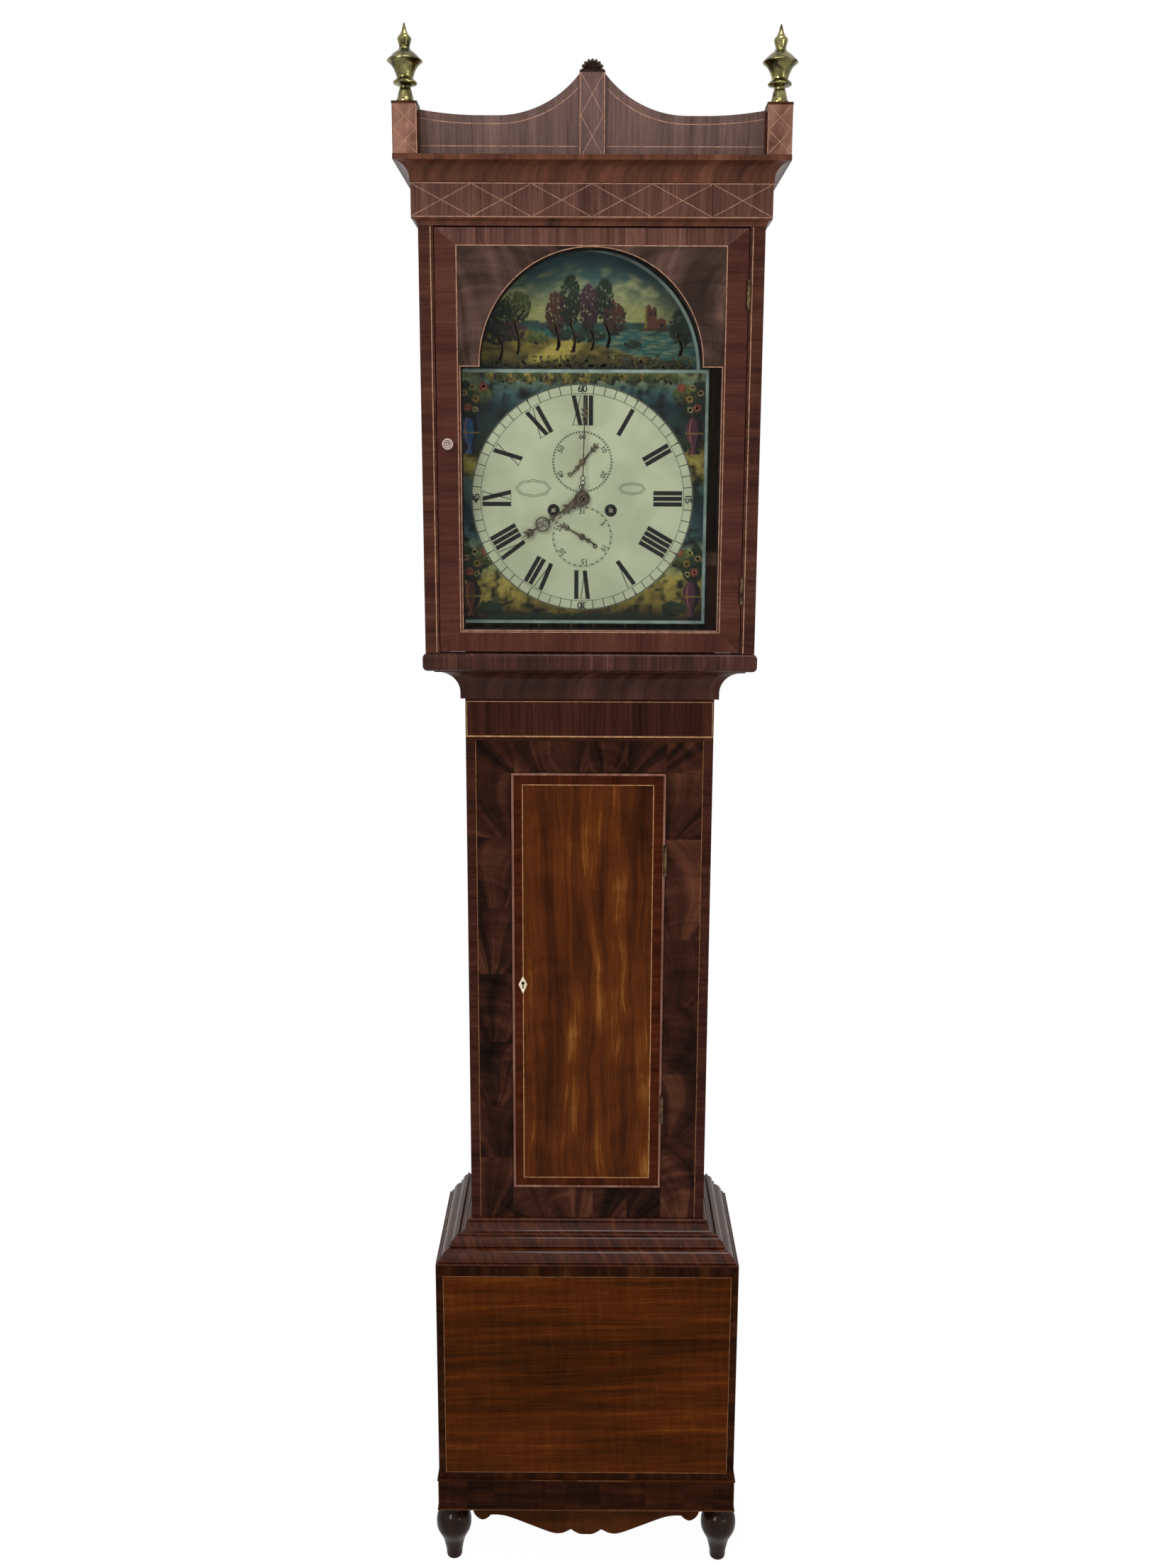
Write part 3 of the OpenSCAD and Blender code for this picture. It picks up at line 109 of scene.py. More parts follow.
# Grain "sheet" follows a veneer's own map, "up" runs up the piece and "along" from side to
# side. Band, streak and ripple are widths in mm, wave bends the grain by mm, fine is the
# share of the streaks, and the stops go from the darkest grain to the lightest.
crossCut = {"grain": "sheet", "band": 15, "streak": 2.6, "ripple": 40, "wave": 2, "fine": 0.5}
curled = {"band": 22, "streak": 3.0, "ripple": 14, "wave": 9, "fine": 0.2}
moulded = {"grain": "up", "band": 18, "streak": 2.4, "ripple": 30, "wave": 3, "fine": 0.3}
beaded = {"grain": "up", "band": 12, "streak": 2.0, "ripple": 30, "wave": 2, "fine": 0.5}
dulled = {"coat": 0.03, "shine": 0.02}
unpolished = {"coat": 0.0, "shine": 0.2, "rough": 0.58}
woodLooks = {
    # short leaves round the frieze and over the hood door, a warm brown greyed by a painted
    # sheen of reflected light
    "friezeMahogany": {**crossCut, "stops": ("#2a1510", "#472c24", "#5a3b31", "#6f5045")},
    # the same leaves on the pediment, greyer and paler with painted reflected light
    "wingMahogany": {**crossCut, "stops": ("#3b2b25", "#53403a", "#604b44", "#735b52")},
    # red-brown stiles of the hood, with grain that runs across them in slow bands
    "stileMahogany": {"grain": "sheet", "stops": ("#1c0a05", "#33170e", "#452519", "#593629"),
                      "band": 26, "streak": 3.0, "ripple": 18, "wave": 3, "fine": 0.35},
    # crossbanding of the hood door, redder and more even
    "redStileMahogany": {"grain": "sheet", "stops": ("#29110b", "#3b1b13", "#47251b", "#563327"),
                         "band": 22, "streak": 2.6, "ripple": 20, "wave": 2, "fine": 0.45},
    # corner blocks a pale pink-brown, lightened by painted reflected light, with a broad
    # slanting figure
    "blockMahogany": {"grain": "sheet", "stops": ("#4a2d22", "#68463a", "#7c5849", "#97705d"),
                      "band": 26, "streak": 3.4, "ripple": 16, "wave": 9, "fine": 0.2},
    # feathered crotch veneer over the arch, nearly black in its folds
    "spandrelMahogany": {"grain": "sheet", "stops": ("#160d0c", "#302019", "#45322b", "#6b4c40"),
                         "band": 24, "streak": 4.0, "ripple": 16, "wave": 14, "fine": 0.08},
    # dark crossbanding of the waist, its polish gone dull
    "waistMahogany": {**crossCut, **dulled, "streak": 2.2,
                      "stops": ("#1a0a06", "#2c150e", "#3a1e15", "#502c20")},
    # crossbanding of the waist door, more orange
    "bandMahogany": {**crossCut, **dulled, "streak": 2.2,
                     "stops": ("#1d0702", "#331205", "#421b0a", "#572912")},
    # almost black curled leaves of the skirt
    "skirtMahogany": {**curled, **dulled, "grain": "sheet",
                      "stops": ("#0f0300", "#1e0a01", "#2c1203", "#45240a")},
    # shaped apron and skirt boards in the solid, a dark red-brown
    "apronMahogany": {**curled, **dulled, "grain": "along",
                      "stops": ("#160600", "#2d1402", "#3d1c06", "#53300f")},
    # golden panel of the waist door, with long wavy streaks and a soft curl across
    "doorMahogany": {"grain": "sheet", "stops": ("#220c03", "#3d1c09", "#54290c", "#905d2a"),
                     "band": 24, "streak": 3.6, "ripple": 52, "wave": 13, "fine": 0.3, **dulled},
    # orange-brown panel of the base, finely striped and with a close fiddleback ripple
    "baseMahogany": {"grain": "sheet", "stops": ("#120400", "#331500", "#491f02", "#64350d"),
                     "band": 17, "streak": 1.9, "ripple": 9, "wave": 4, "fine": 0.42, **dulled},
    # flame veneer round the waist door, dark plumes that spread from each joint
    "flameMahogany": {"grain": "sheet", "stops": ("#0d0604", "#21100a", "#361c12", "#523021"),
                      "band": 26, "streak": 4.0, "ripple": 14, "wave": 16, "fine": 0.1,
                      **dulled},
    # cove under the hood, dark and satin
    "throatMahogany": {**moulded, "coat": 0.15,
                       "stops": ("#190b07", "#2c150e", "#3a1e15", "#4e3026")},
    # stepped base moulding, the glossiest wood of the case
    "mouldMahogany": {**beaded, "coat": 0.35, "polish": 0.06,
                      "stops": ("#110300", "#2c0f02", "#421b08", "#66391f")},
    # cornice and its boards, sun-faded
    "corniceMahogany": {**moulded, "stops": ("#2c170f", "#47281b", "#583224", "#6c4331")},
    # round-nosed rail under the hood, rubbed bright by hands
    "railMahogany": {**beaded, "coat": 0.2, "polish": 0.08,
                     "stops": ("#150806", "#2b150e", "#3f2118", "#604034")},
    # plain sides of the case, straight wide figure
    "sideMahogany": {"grain": "up", "stops": ("#200f08", "#341a10", "#432516", "#573423"),
                     "band": 34, "streak": 3.0, "ripple": 18, "wave": 9, "fine": 0.25,
                     "coat": 0.04, "shine": 0.03},
    # turned feet and the carved boss, stained almost black
    "darkTurning": {"grain": "up", "stops": ("#0b0402", "#190b06", "#26120a", "#3a2313"),
                    "band": 9, "streak": 1.8, "ripple": 30, "wave": 1, "fine": 0.3,
                    "coat": 0.18, "polish": 0.05},
    # dry brown pine of the back, three boards with open joints
    "backPine": {"grain": "up", "stops": ("#553a23", "#745334", "#88663a", "#a08052"),
                 "band": 28, "streak": 2.8, "ripple": 60, "wave": 8, "fine": 0.3,
                 "boards": (-92, 71), **unpolished},
    # the same pine laid flat, paler where light doesn't reach it
    "boardPine": {"grain": "along", "stops": ("#5d4026", "#7d5a38", "#93703f", "#a9895a"),
                  "band": 24, "streak": 2.8, "ripple": 60, "wave": 8, "fine": 0.3,
                  **unpolished},
    # seatboard, a coarse grey-brown oak
    "carcassOak": {"grain": "along", "stops": ("#3f2a18", "#5c4027", "#755536", "#8d6c48"),
                   "band": 20, "streak": 2.4, "ripple": 50, "wave": 5, "fine": 0.4,
                   **unpolished},
    # mask behind the glass, nearly black, so that only the dial shows
    "maskWood": {"grain": "up", "stops": ("#070606", "#0d0b0a", "#151110", "#1d1714"),
                 "band": 18, "streak": 2.6, "ripple": 40, "wave": 3, "fine": 0.4,
                 **unpolished},
    # cock bead of the waist door, its round edge pale as a painted highlight
    "beadHighlightMahogany": {**beaded, "fine": 0.4, "stops": ("#4a2c22", "#684336", "#7d5747", "#94705f")},
}


def polishedWood(name, look):
    material, tree = newMaterial(name)
    lightness, figure = 1.0, 0.3
    if look["grain"] == "sheet":
        uv = addNode(tree, "ShaderNodeUVMap", uv_map="grain")
        u, v = addNode(tree, "ShaderNodeSeparateXYZ", {0: uv}).outputs[:2]
        tone = addNode(tree, "ShaderNodeAttribute", attribute_name="tone")
        light, layer, figure = addNode(tree, "ShaderNodeSeparateColor", {0: tone}).outputs
        lightness = addNode(tree, "ShaderNodeMath", {0: light, 1: 2.0}, operation="MULTIPLY")
        depth = addNode(tree, "ShaderNodeMath", {0: layer, 1: 3.0}, operation="MULTIPLY")
    else:
        place = addNode(tree, "ShaderNodeTexCoord").outputs["Object"]
        x, y, z = addNode(tree, "ShaderNodeSeparateXYZ", {0: place}).outputs
        # x + y goes on round a mitred corner
        across = addNode(tree, "ShaderNodeMath", {0: x, 1: y}, operation="ADD")
        u, v, depth = (z, across, x) if look["grain"] == "up" else (x, y, z)
    flat = addNode(tree, "ShaderNodeCombineXYZ", {0: u, 1: v, 2: depth})
    bent = cloudy(tree, flat, (200, 76.92, 1000), 2.0)
    for operation, other in (("SUBTRACT", 0.5), ("MULTIPLY", 3 * look["wave"] * mm), ("ADD", v)):
        bent = addNode(tree, "ShaderNodeMath", {0: bent, 1: other}, operation=operation)
    place = addNode(tree, "ShaderNodeCombineXYZ", {0: u, 1: bent, 2: depth})
    band, streak, fine = look["band"], look["streak"], look["fine"]
    bands = cloudy(tree, place, (384.6, band, band * 3), 3.0, 0.55, 0.5)
    streaks = cloudy(tree, place, (90.91, streak, streak * 3), 3.0, 0.6)
    ripples = cloudy(tree, place, (look["ripple"], 83.33, 200), 2.0, 0.5, 0.9)
    clouds = cloudy(tree, flat, (166.7, 71.43, 500), 2.0, 0.5, 0.6)
    # pores are drawn wider than the real 0.2 mm, so that they show at all
    flecks = cloudy(tree, place, (11.11, 0.7692, 1.6667), 1.0)
    # bands and streaks set the colour, and ripples and clouds cross them in figured wood
    mixed = addNode(tree, "ShaderNodeMix", {0: fine, 2: bands, 3: streaks})
    curl = addNode(tree, "ShaderNodeMix", {0: 0.6, 2: ripples, 3: clouds})
    for operation, other in (("SUBTRACT", 0.5), ("MULTIPLY", figure), ("MULTIPLY", 1.3),
                             ("ADD", mixed)):
        curl = addNode(tree, "ShaderNodeMath", {0: curl, 1: other}, operation=operation)
    color = addNode(tree, "ShaderNodeValToRGB", {0: curl},
                    list(zip((0.27, 0.43, 0.57, 0.75), look["stops"])))
    shade = addNode(tree, "ShaderNodeMapRange", {0: flecks, 1: 0.55, 2: 0.7, 3: 1.0, 4: 0.74})
    for edge in look.get("boards", ()):
        # dark gap between two boards
        away = addNode(tree, "ShaderNodeMath", {0: x, 1: edge * mm}, operation="SUBTRACT")
        away = addNode(tree, "ShaderNodeMath", {0: away}, operation="ABSOLUTE")
        seam = addNode(tree, "ShaderNodeMapRange",
                       {0: away, 1: 0.4 * mm, 2: 1.1 * mm, 3: 0.3, 4: 1.0})
        shade = addNode(tree, "ShaderNodeMath", {0: shade, 1: seam}, operation="MULTIPLY")
    bump = addNode(tree, "ShaderNodeBump", {"Height": shade, "Strength": 0.18,
                                            "Distance": 0.15 * mm})
    shade = addNode(tree, "ShaderNodeMath", {0: shade, 1: lightness}, operation="MULTIPLY")
    toned = addNode(tree, "ShaderNodeVectorMath", {0: color, 3: shade}, operation="SCALE")
    gloss = look.get("rough", 0.34)
    rough = addNode(tree, "ShaderNodeMapRange",
                    {0: streaks, 1: 0.3, 2: 0.7, 3: gloss - 0.05, 4: gloss + 0.09})
    endMaterial(tree, {"Base Color": toned, "Roughness": rough, "Normal": bump,
                       "Coat Weight": look.get("coat", 0.12), "Coat IOR": 1.45,
                       "Coat Roughness": look.get("polish", 0.14),
                       "Specular IOR Level": look.get("shine", 0.05)})
    return material


# a patch is the width in mm of the cloudy places where a metal has dulled, and on the
# finials of the dark patches painted in as reflections
metalLooks = {
    # cast and filed brass of the movement, gone brown between the worked places
    "agedBrass": {"clean": "#a98b4c", "worn": "#6d5730", "rough": 0.36, "patch": 16.67},
    # spun brass bob, with the steel rod over it
    "pendulumBrass": {"clean": "#a3854a", "worn": "#83693b", "rough": 0.34, "patch": 45.45,
                      "steelAbove": 866, "steel": "#4a4b4c"},
    # turned finials, bright greenish brass with dark patches painted in as reflections
    "polishedBrass": {"clean": "#8a8355", "worn": "#302d1c", "rough": 0.17, "patch": 16.67},
    # hinges and bolt, brown with old lacquer
    "hingeBrass": {"clean": "#66513a", "worn": "#2d2218", "rough": 0.42, "patch": 11.11},
    # pierced hands, a brown metal that has lost its gilding
    "handMetal": {"clean": "#5f5648", "worn": "#2b271f", "rough": 0.4, "patch": 6.25},
    # oiled screws and washer, nearly black, and dark discs painted as shade in the winding holes
    "darkSteel": {"clean": "#3a3833", "worn": "#1d1b18", "rough": 0.45, "patch": 8.333},
    # filed steel of the squares and the pin
    "brightSteel": {"clean": "#8f8c83", "worn": "#514f49", "rough": 0.25, "patch": 8.333},
    # lock, hammer and pallets, a cool grey
    "bluedSteel": {"clean": "#73777a", "worn": "#515356", "rough": 0.34, "patch": 12.5},
    # bell, pale and silvery
    "bellMetal": {"clean": "#b3ad93", "worn": "#8a8368", "rough": 0.24, "patch": 25},
    # cast weights, a soft matt grey
    "castLead": {"clean": "#6f6e6c", "worn": "#4b4a48", "rough": 0.62, "patch": 18.18},
}


def agedMetal(name, look):
    # clean metal on wear, dulled in patches; the finials' dark patches are painted reflections
    material, tree = newMaterial(name)
    place = addNode(tree, "ShaderNodeTexCoord").outputs["Object"]
    patches = cloudy(tree, place, [look["patch"]] * 3, 5.0, 0.6, 0.4)
    color = addNode(tree, "ShaderNodeValToRGB", {0: patches},
                    [(0.35, look["worn"]), (0.62, look["clean"])])
    if "steelAbove" in look:
        # a steel rod over a brass bob, all one piece
        height = addNode(tree, "ShaderNodeSeparateXYZ", {0: place}).outputs[2]
        rod = addNode(tree, "ShaderNodeMath", {0: height, 1: look["steelAbove"] * mm},
                      operation="GREATER_THAN")
        color = addNode(tree, "ShaderNodeMix", {0: rod, 6: color, 7: hexColor(look["steel"])},
                        data_type="RGBA").outputs[2]
    rough = addNode(tree, "ShaderNodeMapRange", {
        0: patches, 1: 0.3, 2: 0.7, 3: look["rough"] + 0.14, 4: look["rough"] - 0.04})
    fine = cloudy(tree, place, (1.111, 1.111, 1.111), 2.0)
    bump = addNode(tree, "ShaderNodeBump", {"Height": fine, "Strength": 0.1,
                                            "Distance": 0.05 * mm})
    endMaterial(tree, {"Base Color": color, "Roughness": rough, "Normal": bump, "Metallic": 1.0})
    return material


# two near tones of one finish, in patches of these widths in mm
plainLooks = {
    # keyhole plate, yellowed with faint streaks up it
    "boneInlay": {"dark": "#b9a98a", "light": "#dccfb2", "patch": (3.333, 3.333, 16.67),
                  "rough": 0.45},
    # inlaid lines of the waist, clear against the dark wood
    "hollyStringing": {"dark": "#86603d", "light": "#ab8157", "patch": (8.333,) * 3,
                       "rough": 0.42},
    # the same lines under brown polish, hardly lighter than the wood; also the pale strips
    # painted as highlights on the skirt's beads
    "dullStringing": {"dark": "#563520", "light": "#7c5434", "patch": (8.333,) * 3,
                      "rough": 0.42},
    # lines of the hood, faded to pink
    "paleStringing": {"dark": "#7d5a48", "light": "#a37d66", "patch": (8.333,) * 3,
                      "rough": 0.42},
    # gut, tan and streaked along its twist
    "gutLine": {"dark": "#8f7443", "light": "#c0a56c", "patch": (2, 2, 4.167), "rough": 0.4},
    # the dial's ground, a white paint gone grey-green under varnish
    "dialGround": {"dark": "#91977c", "light": "#a0a68a", "patch": (71.43,) * 3, "rough": 0.42},
    # numerals and minute marks, a matt black
    "dialBlack": {"dark": "#0d0e0c", "light": "#181916", "patch": (6.667,) * 3, "rough": 0.5},
    # thin painted rings and small figures, worn to a dark grey
    "dialLine": {"dark": "#23261f", "light": "#3c3f34", "patch": (6.667,) * 3, "rough": 0.5},
    # blue-grey border of the dial plate
    "dialBorder": {"dark": "#62716b", "light": "#80908a", "patch": (25,) * 3, "rough": 0.45},
}


def mottled(name, look):
    # a finish of one colour, a little uneven in tone and gloss
    material, tree = newMaterial(name)
    place = addNode(tree, "ShaderNodeTexCoord").outputs["Object"]
    tones = cloudy(tree, place, look["patch"], 4.0, 0.6, 0.3)
    color = addNode(tree, "ShaderNodeValToRGB", {0: tones},
                    [(0.36, look["dark"]), (0.62, look["light"])])
    rough = addNode(tree, "ShaderNodeMapRange", {
        0: tones, 1: 0.3, 2: 0.7, 3: look["rough"] - 0.06, 4: look["rough"] + 0.1})
    endMaterial(tree, {"Base Color": color, "Roughness": rough, "Specular IOR Level": 0.15})
    return material


def windowGlass():
    # old thin pane: mostly clear, with a faint green tint
    material, tree = newMaterial("oldWindowGlass")
    endMaterial(tree, {"Base Color": hexColor("#e9f2ec"), "Roughness": 0.03, "IOR": 1.45,
                       "Transmission Weight": 1.0, "Alpha": 0.1})
    return material


def dialPaint():
    # oil colours held in the mesh's own paint attribute, broken up by brush strokes
    material, tree = newMaterial("dialOilPaint")
    paint = addNode(tree, "ShaderNodeAttribute", attribute_name="paint")
    place = addNode(tree, "ShaderNodeTexCoord").outputs["Object"]
    strokes = cloudy(tree, place, (6.25, 2.5, 2.381), 4.0, 0.6, 1.0)
    shade = addNode(tree, "ShaderNodeMapRange", {0: strokes, 1: 0.3, 2: 0.7, 3: 0.6, 4: 1.26})
    toned = addNode(tree, "ShaderNodeVectorMath", {0: paint, 3: shade}, operation="SCALE")
    rough = addNode(tree, "ShaderNodeMapRange", {0: strokes, 1: 0.3, 2: 0.7, 3: 0.36, 4: 0.5})
    bump = addNode(tree, "ShaderNodeBump", {"Height": strokes, "Strength": 0.25,
                                            "Distance": 0.1 * mm})
    endMaterial(tree, {"Base Color": toned, "Roughness": rough, "Normal": bump,
                       "Specular IOR Level": 0.12})
    return material


knobLook = {"center": (-198, 0, 1790), "ring": 2.922,
            "stops": ((0.2, "#4a332b"), (0.5, "#b3a196"))}


def turnedBone(look):
    # pale bone with dark turned lines round the knob's middle, a ring apart in mm
    material, tree = newMaterial("turnedBone")
    place = addNode(tree, "ShaderNodeTexCoord").outputs["Object"]
    away = addNode(tree, "ShaderNodeVectorMath", {0: place, 1: Vector(look["center"]) * mm},
                   operation="SUBTRACT")
    level = addNode(tree, "ShaderNodeVectorMath", {0: away, 1: (1, 0, 1)}, operation="MULTIPLY")
    rings = addNode(tree, "ShaderNodeVectorMath", {0: level}, operation="LENGTH").outputs[1]
    for operation, other in (("MULTIPLY", 2 * math.pi / (look["ring"] * mm)), ("SINE", 0.0),
                             ("ADD", 1.0), ("MULTIPLY", 0.5)):
        rings = addNode(tree, "ShaderNodeMath", {0: rings, 1: other}, operation=operation)
    color = addNode(tree, "ShaderNodeValToRGB", {0: rings}, look["stops"])
    endMaterial(tree, {"Base Color": color, "Roughness": 0.38, "Specular IOR Level": 0.3})
    return material


woods = {name: polishedWood(name, look) for name, look in woodLooks.items()}
metals = {name: agedMetal(name, look) for name, look in metalLooks.items()}
plains = {name: mottled(name, look) for name, look in plainLooks.items()}
oilPaint = dialPaint()

# what each piece of the frame is made of
finishes = {**woods, **metals, **plains, "oldWindowGlass": windowGlass(),
            "turnedBone": turnedBone(knobLook)}
frameFinishes = {
    "backPine": ("backboard",),
    "boardPine": ("base_floor", "hood_top_board"),
    "carcassOak": ("seatboard",),
    "sideMahogany": ("base_sides", "waist_sides", "hood_sides", "base_front_panel",
                     "waist_front_frame", "waist_door", "hood_door", "pediment_blocks"),
    "apronMahogany": ("skirt",),
    "mouldMahogany": ("base_moulding",),
    "throatMahogany": ("throat_moulding",),
    "railMahogany": ("hood_rail",),
    "corniceMahogany": ("cornice", "frieze", "pediment_board"),
    "darkTurning": ("feet", "centre_ornament"),
    "maskWood": ("dial_mask",),
    "agedBrass": ("movement_plates", "pillars", "centre_arbor", "third_wheel", "escape_wheel",
                  "going_great_wheel", "strike_great_wheel", "going_barrel", "strike_barrel",
                  "cannon_wheel", "minute_wheel", "hour_wheel", "going_pulley",
                  "strike_pulley"),
    "pendulumBrass": ("pendulum",),
    "polishedBrass": ("finials",),
    "hingeBrass": ("waist_hinge_plates", "waist_hinge_leaves", "hood_hinge_plates",
                   "hood_hinge_leaves", "lock_bolt"),
    "bluedSteel": ("waist_lock", "hammer", "pallets"),
    "bellMetal": ("bell",),
    "castLead": ("going_weight", "strike_weight"),
    "handMetal": ("minute_hand", "hour_hand", "seconds_hand", "calendar_hand"),
    "boneInlay": ("keyhole_plate",),
    "gutLine": ("going_line", "strike_line", "line_tops"),
    "dialBorder": ("dial_plate",),
    "oldWindowGlass": ("hood_glass",),
    "turnedBone": ("hood_knob",),
}
for finish, names in frameFinishes.items():
    for name in names:
        cadNodes[name].data.materials.clear()
        cadNodes[name].data.materials.append(finishes[finish])
print("finishes on", sum(len(names) for names in frameFinishes.values()), "of", len(cadNodes),
      "pieces of the frame")


def putInScene(name, data):
    thing = bpy.data.objects.new(name, data)
    bpy.context.scene.collection.objects.link(thing)
    return thing


def finishMesh(name, mesh, material, body):
    data = bpy.data.meshes.new(name)
    mesh.to_mesh(data)
    mesh.free()
    data.materials.append(material)
    piece = putInScene(name, data)
    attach(piece, body)
    return piece


# flat sheets and strips laid on the case

def facing(side, plane):
    # turns a, b in mm and a depth in front of the face into a place; a runs to the
    # viewer's right and b up, for someone who looks at that face
    if side == "front":
        return lambda a, b, out: Vector((a, plane - out, b)) * mm
    if side == "right":
        return lambda a, b, out: Vector((plane + out, a, b)) * mm
    return lambda a, b, out: Vector((plane - out, -a, b)) * mm


def addPrism(mesh, place, outline, proud):
    # outline runs anticlockwise for the viewer; gives the face in front
    front = [mesh.verts.new(place(a, b, proud)) for a, b in outline]
    back = [mesh.verts.new(place(a, b, 0)) for a, b in outline]
    for i in range(len(outline)):
        j = (i + 1) % len(outline)
        mesh.faces.new((front[i], back[i], back[j], front[j]))
    mesh.faces.new(back[::-1])
    return mesh.faces.new(front)


def straight(angle):
    # grain at an angle from a, in degrees
    c, s = math.cos(math.radians(angle)), math.sin(math.radians(angle))
    return lambda a, b: ((a * c + b * s) * mm, (b * c - a * s) * mm)


def plume(centerA, centerB, spread, swirl, reach=60):
    # feathered grain that spreads from a point, as in a crotch of the tree
    def warp(a, b):
        r = math.hypot(a - centerA, b - centerB)
        turn = math.atan2(b - centerB, a - centerA)
        return (r * mm * 0.7, (turn * spread + swirl * math.sin(r / reach)) * 60 * mm)
    return warp


def cutCells(mesh, face, place, outline, cell):
    # cuts the face into cells, so that curved grain can follow its corners
    geometry = [face, *face.edges, *face.verts]
    for axis in (0, 1):
        low, high = min(p[axis] for p in outline), max(p[axis] for p in outline)
        step = (1, 0, 0) if axis == 0 else (0, 1, 0)
        normal = place(*step) - place(0, 0, 0)
        for k in range(1, int((high - low) / cell)):
            at = low + k * cell
            cut = bmesh.ops.bisect_plane(mesh, geom=geometry, dist=1e-7,
                                         plane_co=place(*[at * s for s in step]),
                                         plane_no=normal.normalized())
            geometry = cut["geom"]
    return [g for g in geometry if isinstance(g, bmesh.types.BMFace)]


def box(a0, b0, a1, b1):
    return [(a0, b0), (a1, b0), (a1, b1), (a0, b1)]


def leaf(face, outline, grain, tone=0.5, figure=0.3, cell=None):
    # grain is an angle or a warp, tone the lightness (0.5 is plain), figure the strength of
    # the curl, and cell the size in mm into which a warped leaf is cut
    return {"face": face, "outline": outline, "tone": tone, "figure": figure, "cell": cell,
            "grain": grain if callable(grain) else straight(grain)}


def veneerSheet(name, body, wood, leaves, proud=0.3):
    mesh = bmesh.new()
    uvLayer = mesh.loops.layers.uv.new("grain")
    toneLayer = mesh.loops.layers.float_color.new("tone")
    dice = random.Random(name)
    for piece in leaves:
        side, plane = piece["face"]
        place = facing(side, plane)
        faces = [addPrism(mesh, place, piece["outline"], proud)]
        shift = (dice.uniform(0, 3), dice.uniform(0, 3))
        tone = (piece["tone"], dice.random(), piece["figure"], 1.0)
        if piece["cell"]:
            faces = cutCells(mesh, faces[0], place, piece["outline"], piece["cell"])
        for face in faces:
            for loop in face.loops:
                x, y, z = (c / mm for c in loop.vert.co)
                u, v = piece["grain"]({"front": x, "right": y, "left": -y}[side], z)
                loop[uvLayer].uv = (u + shift[0], v + shift[1])
                loop[toneLayer] = tone
    return finishMesh(name, mesh, woods[wood], body)


def mitredFrame(face, outer, inner, tones, figure=0.25):
    # four strips round a panel with the grain across each of them
    outside, inside = box(*outer), box(*inner)
    return [leaf(face, [outside[k], outside[(k + 1) % 4], inside[(k + 1) % 4], inside[k]],
                 90 if k % 2 == 0 else 0, tones[k], figure) for k in range(4)]


def acrossLeaves(face, a0, a1, b0, b1, dice, narrow, wide, tones):
    # short leaves laid side by side, with the grain up
    leaves, a = [], a0
    while a < a1 - 0.5:
        end = a + dice.uniform(narrow, wide)
        end = a1 if end > a1 - narrow / 2 else end
        leaves.append(leaf(face, box(a, b0, end, b1), 90, dice.uniform(*tones), 0.12))
        a = end
    return leaves


def line(face, points, width=1.0, proud=0.42, closed=False):
    # an inlaid line through points, its width and height over the face in mm
    return {"face": face, "points": points, "width": width, "proud": proud, "closed": closed}


def addRibbon(mesh, place, points, width, proud, closed):
    # a strip of even width along points, mitred at its corners
    count = len(points)
    sides = []
    for i, (a, b) in enumerate(points):
        before = points[i - 1] if closed or i else None
        after = points[(i + 1) % count] if closed or i < count - 1 else None
        steps = [Vector((a - before[0], b - before[1])).normalized()] if before else []
        steps += [Vector((after[0] - a, after[1] - b)).normalized()] if after else []
        along = sum(steps, Vector((0, 0))).normalized()
        stretch = 1 / max(along.dot(steps[0]), 0.35)
        across = Vector((-along.y, along.x)) * width / 2 * stretch
        sides.append(((a + across.x, b + across.y), (a - across.x, b - across.y)))
    for i in range(count if closed else count - 1):
        (l0, r0), (l1, r1) = sides[i], sides[(i + 1) % count]
        addPrism(mesh, place, [r0, r1, l1, l0], proud)


def stringing(name, body, finish, lines):
    mesh = bmesh.new()
    for inlay in lines:
        addRibbon(mesh, facing(*inlay["face"]), inlay["points"], inlay["width"],
                  inlay["proud"], inlay["closed"])
    return finishMesh(name, mesh, plains[finish], body)


def arcPoints(x, z, r, start, end, count):
    # angles in degrees from +a, towards +b
    angles = [math.radians(start + (end - start) * i / count) for i in range(count + 1)]
    return [(x + r * math.cos(a), z + r * math.sin(a)) for a in angles]


def addBead(mesh, place, points, width, base, rise):
    # rounded strip round a closed outline, mitred at its corners
    rows = []
    for i, here in enumerate(points):
        before, after = Vector(points[i - 1]), Vector(points[(i + 1) % len(points)])
        ahead = [(Vector(here) - before).normalized(), (after - Vector(here)).normalized()]
        left = [Vector((-d.y, d.x)) for d in ahead]
        mitre = (left[0] + left[1]) / (1 + left[0].dot(left[1]))
        rows.append([mesh.verts.new(place(here[0] + mitre.x * width * k / 8,
                                          here[1] + mitre.y * width * k / 8,
                                          base + rise * math.cos(math.pi * k / 8)))
                     for k in range(-4, 5)])
    for row, following in zip(rows, rows[1:] + rows[:1]):
        for k in range(8):
            mesh.faces.new((row[k], following[k], following[k + 1], row[k + 1])).smooth = True


# places and widths in mm, in the frame's own axes; cuts are the joints between leaves
baseLook = {"faceY": -103.8, "half": 236.5, "low": 169, "high": 543, "edge": 11.5,
            "bottomEdge": 12, "topEdge": 18, "sideX": 238, "sideCuts": (-105, -40, 30, 122),
            "skirtY": -105.3, "skirtLow": 114.6, "skirtHigh": 166.4, "seed": 4,
            "skirtCuts": (-236, -192, -148, -66, -34, 22, 96, 158, 204, 236),
            "crestHighlights": ((-237, 237, 114), (-14, 72, 168), (-90, -40, 168))}


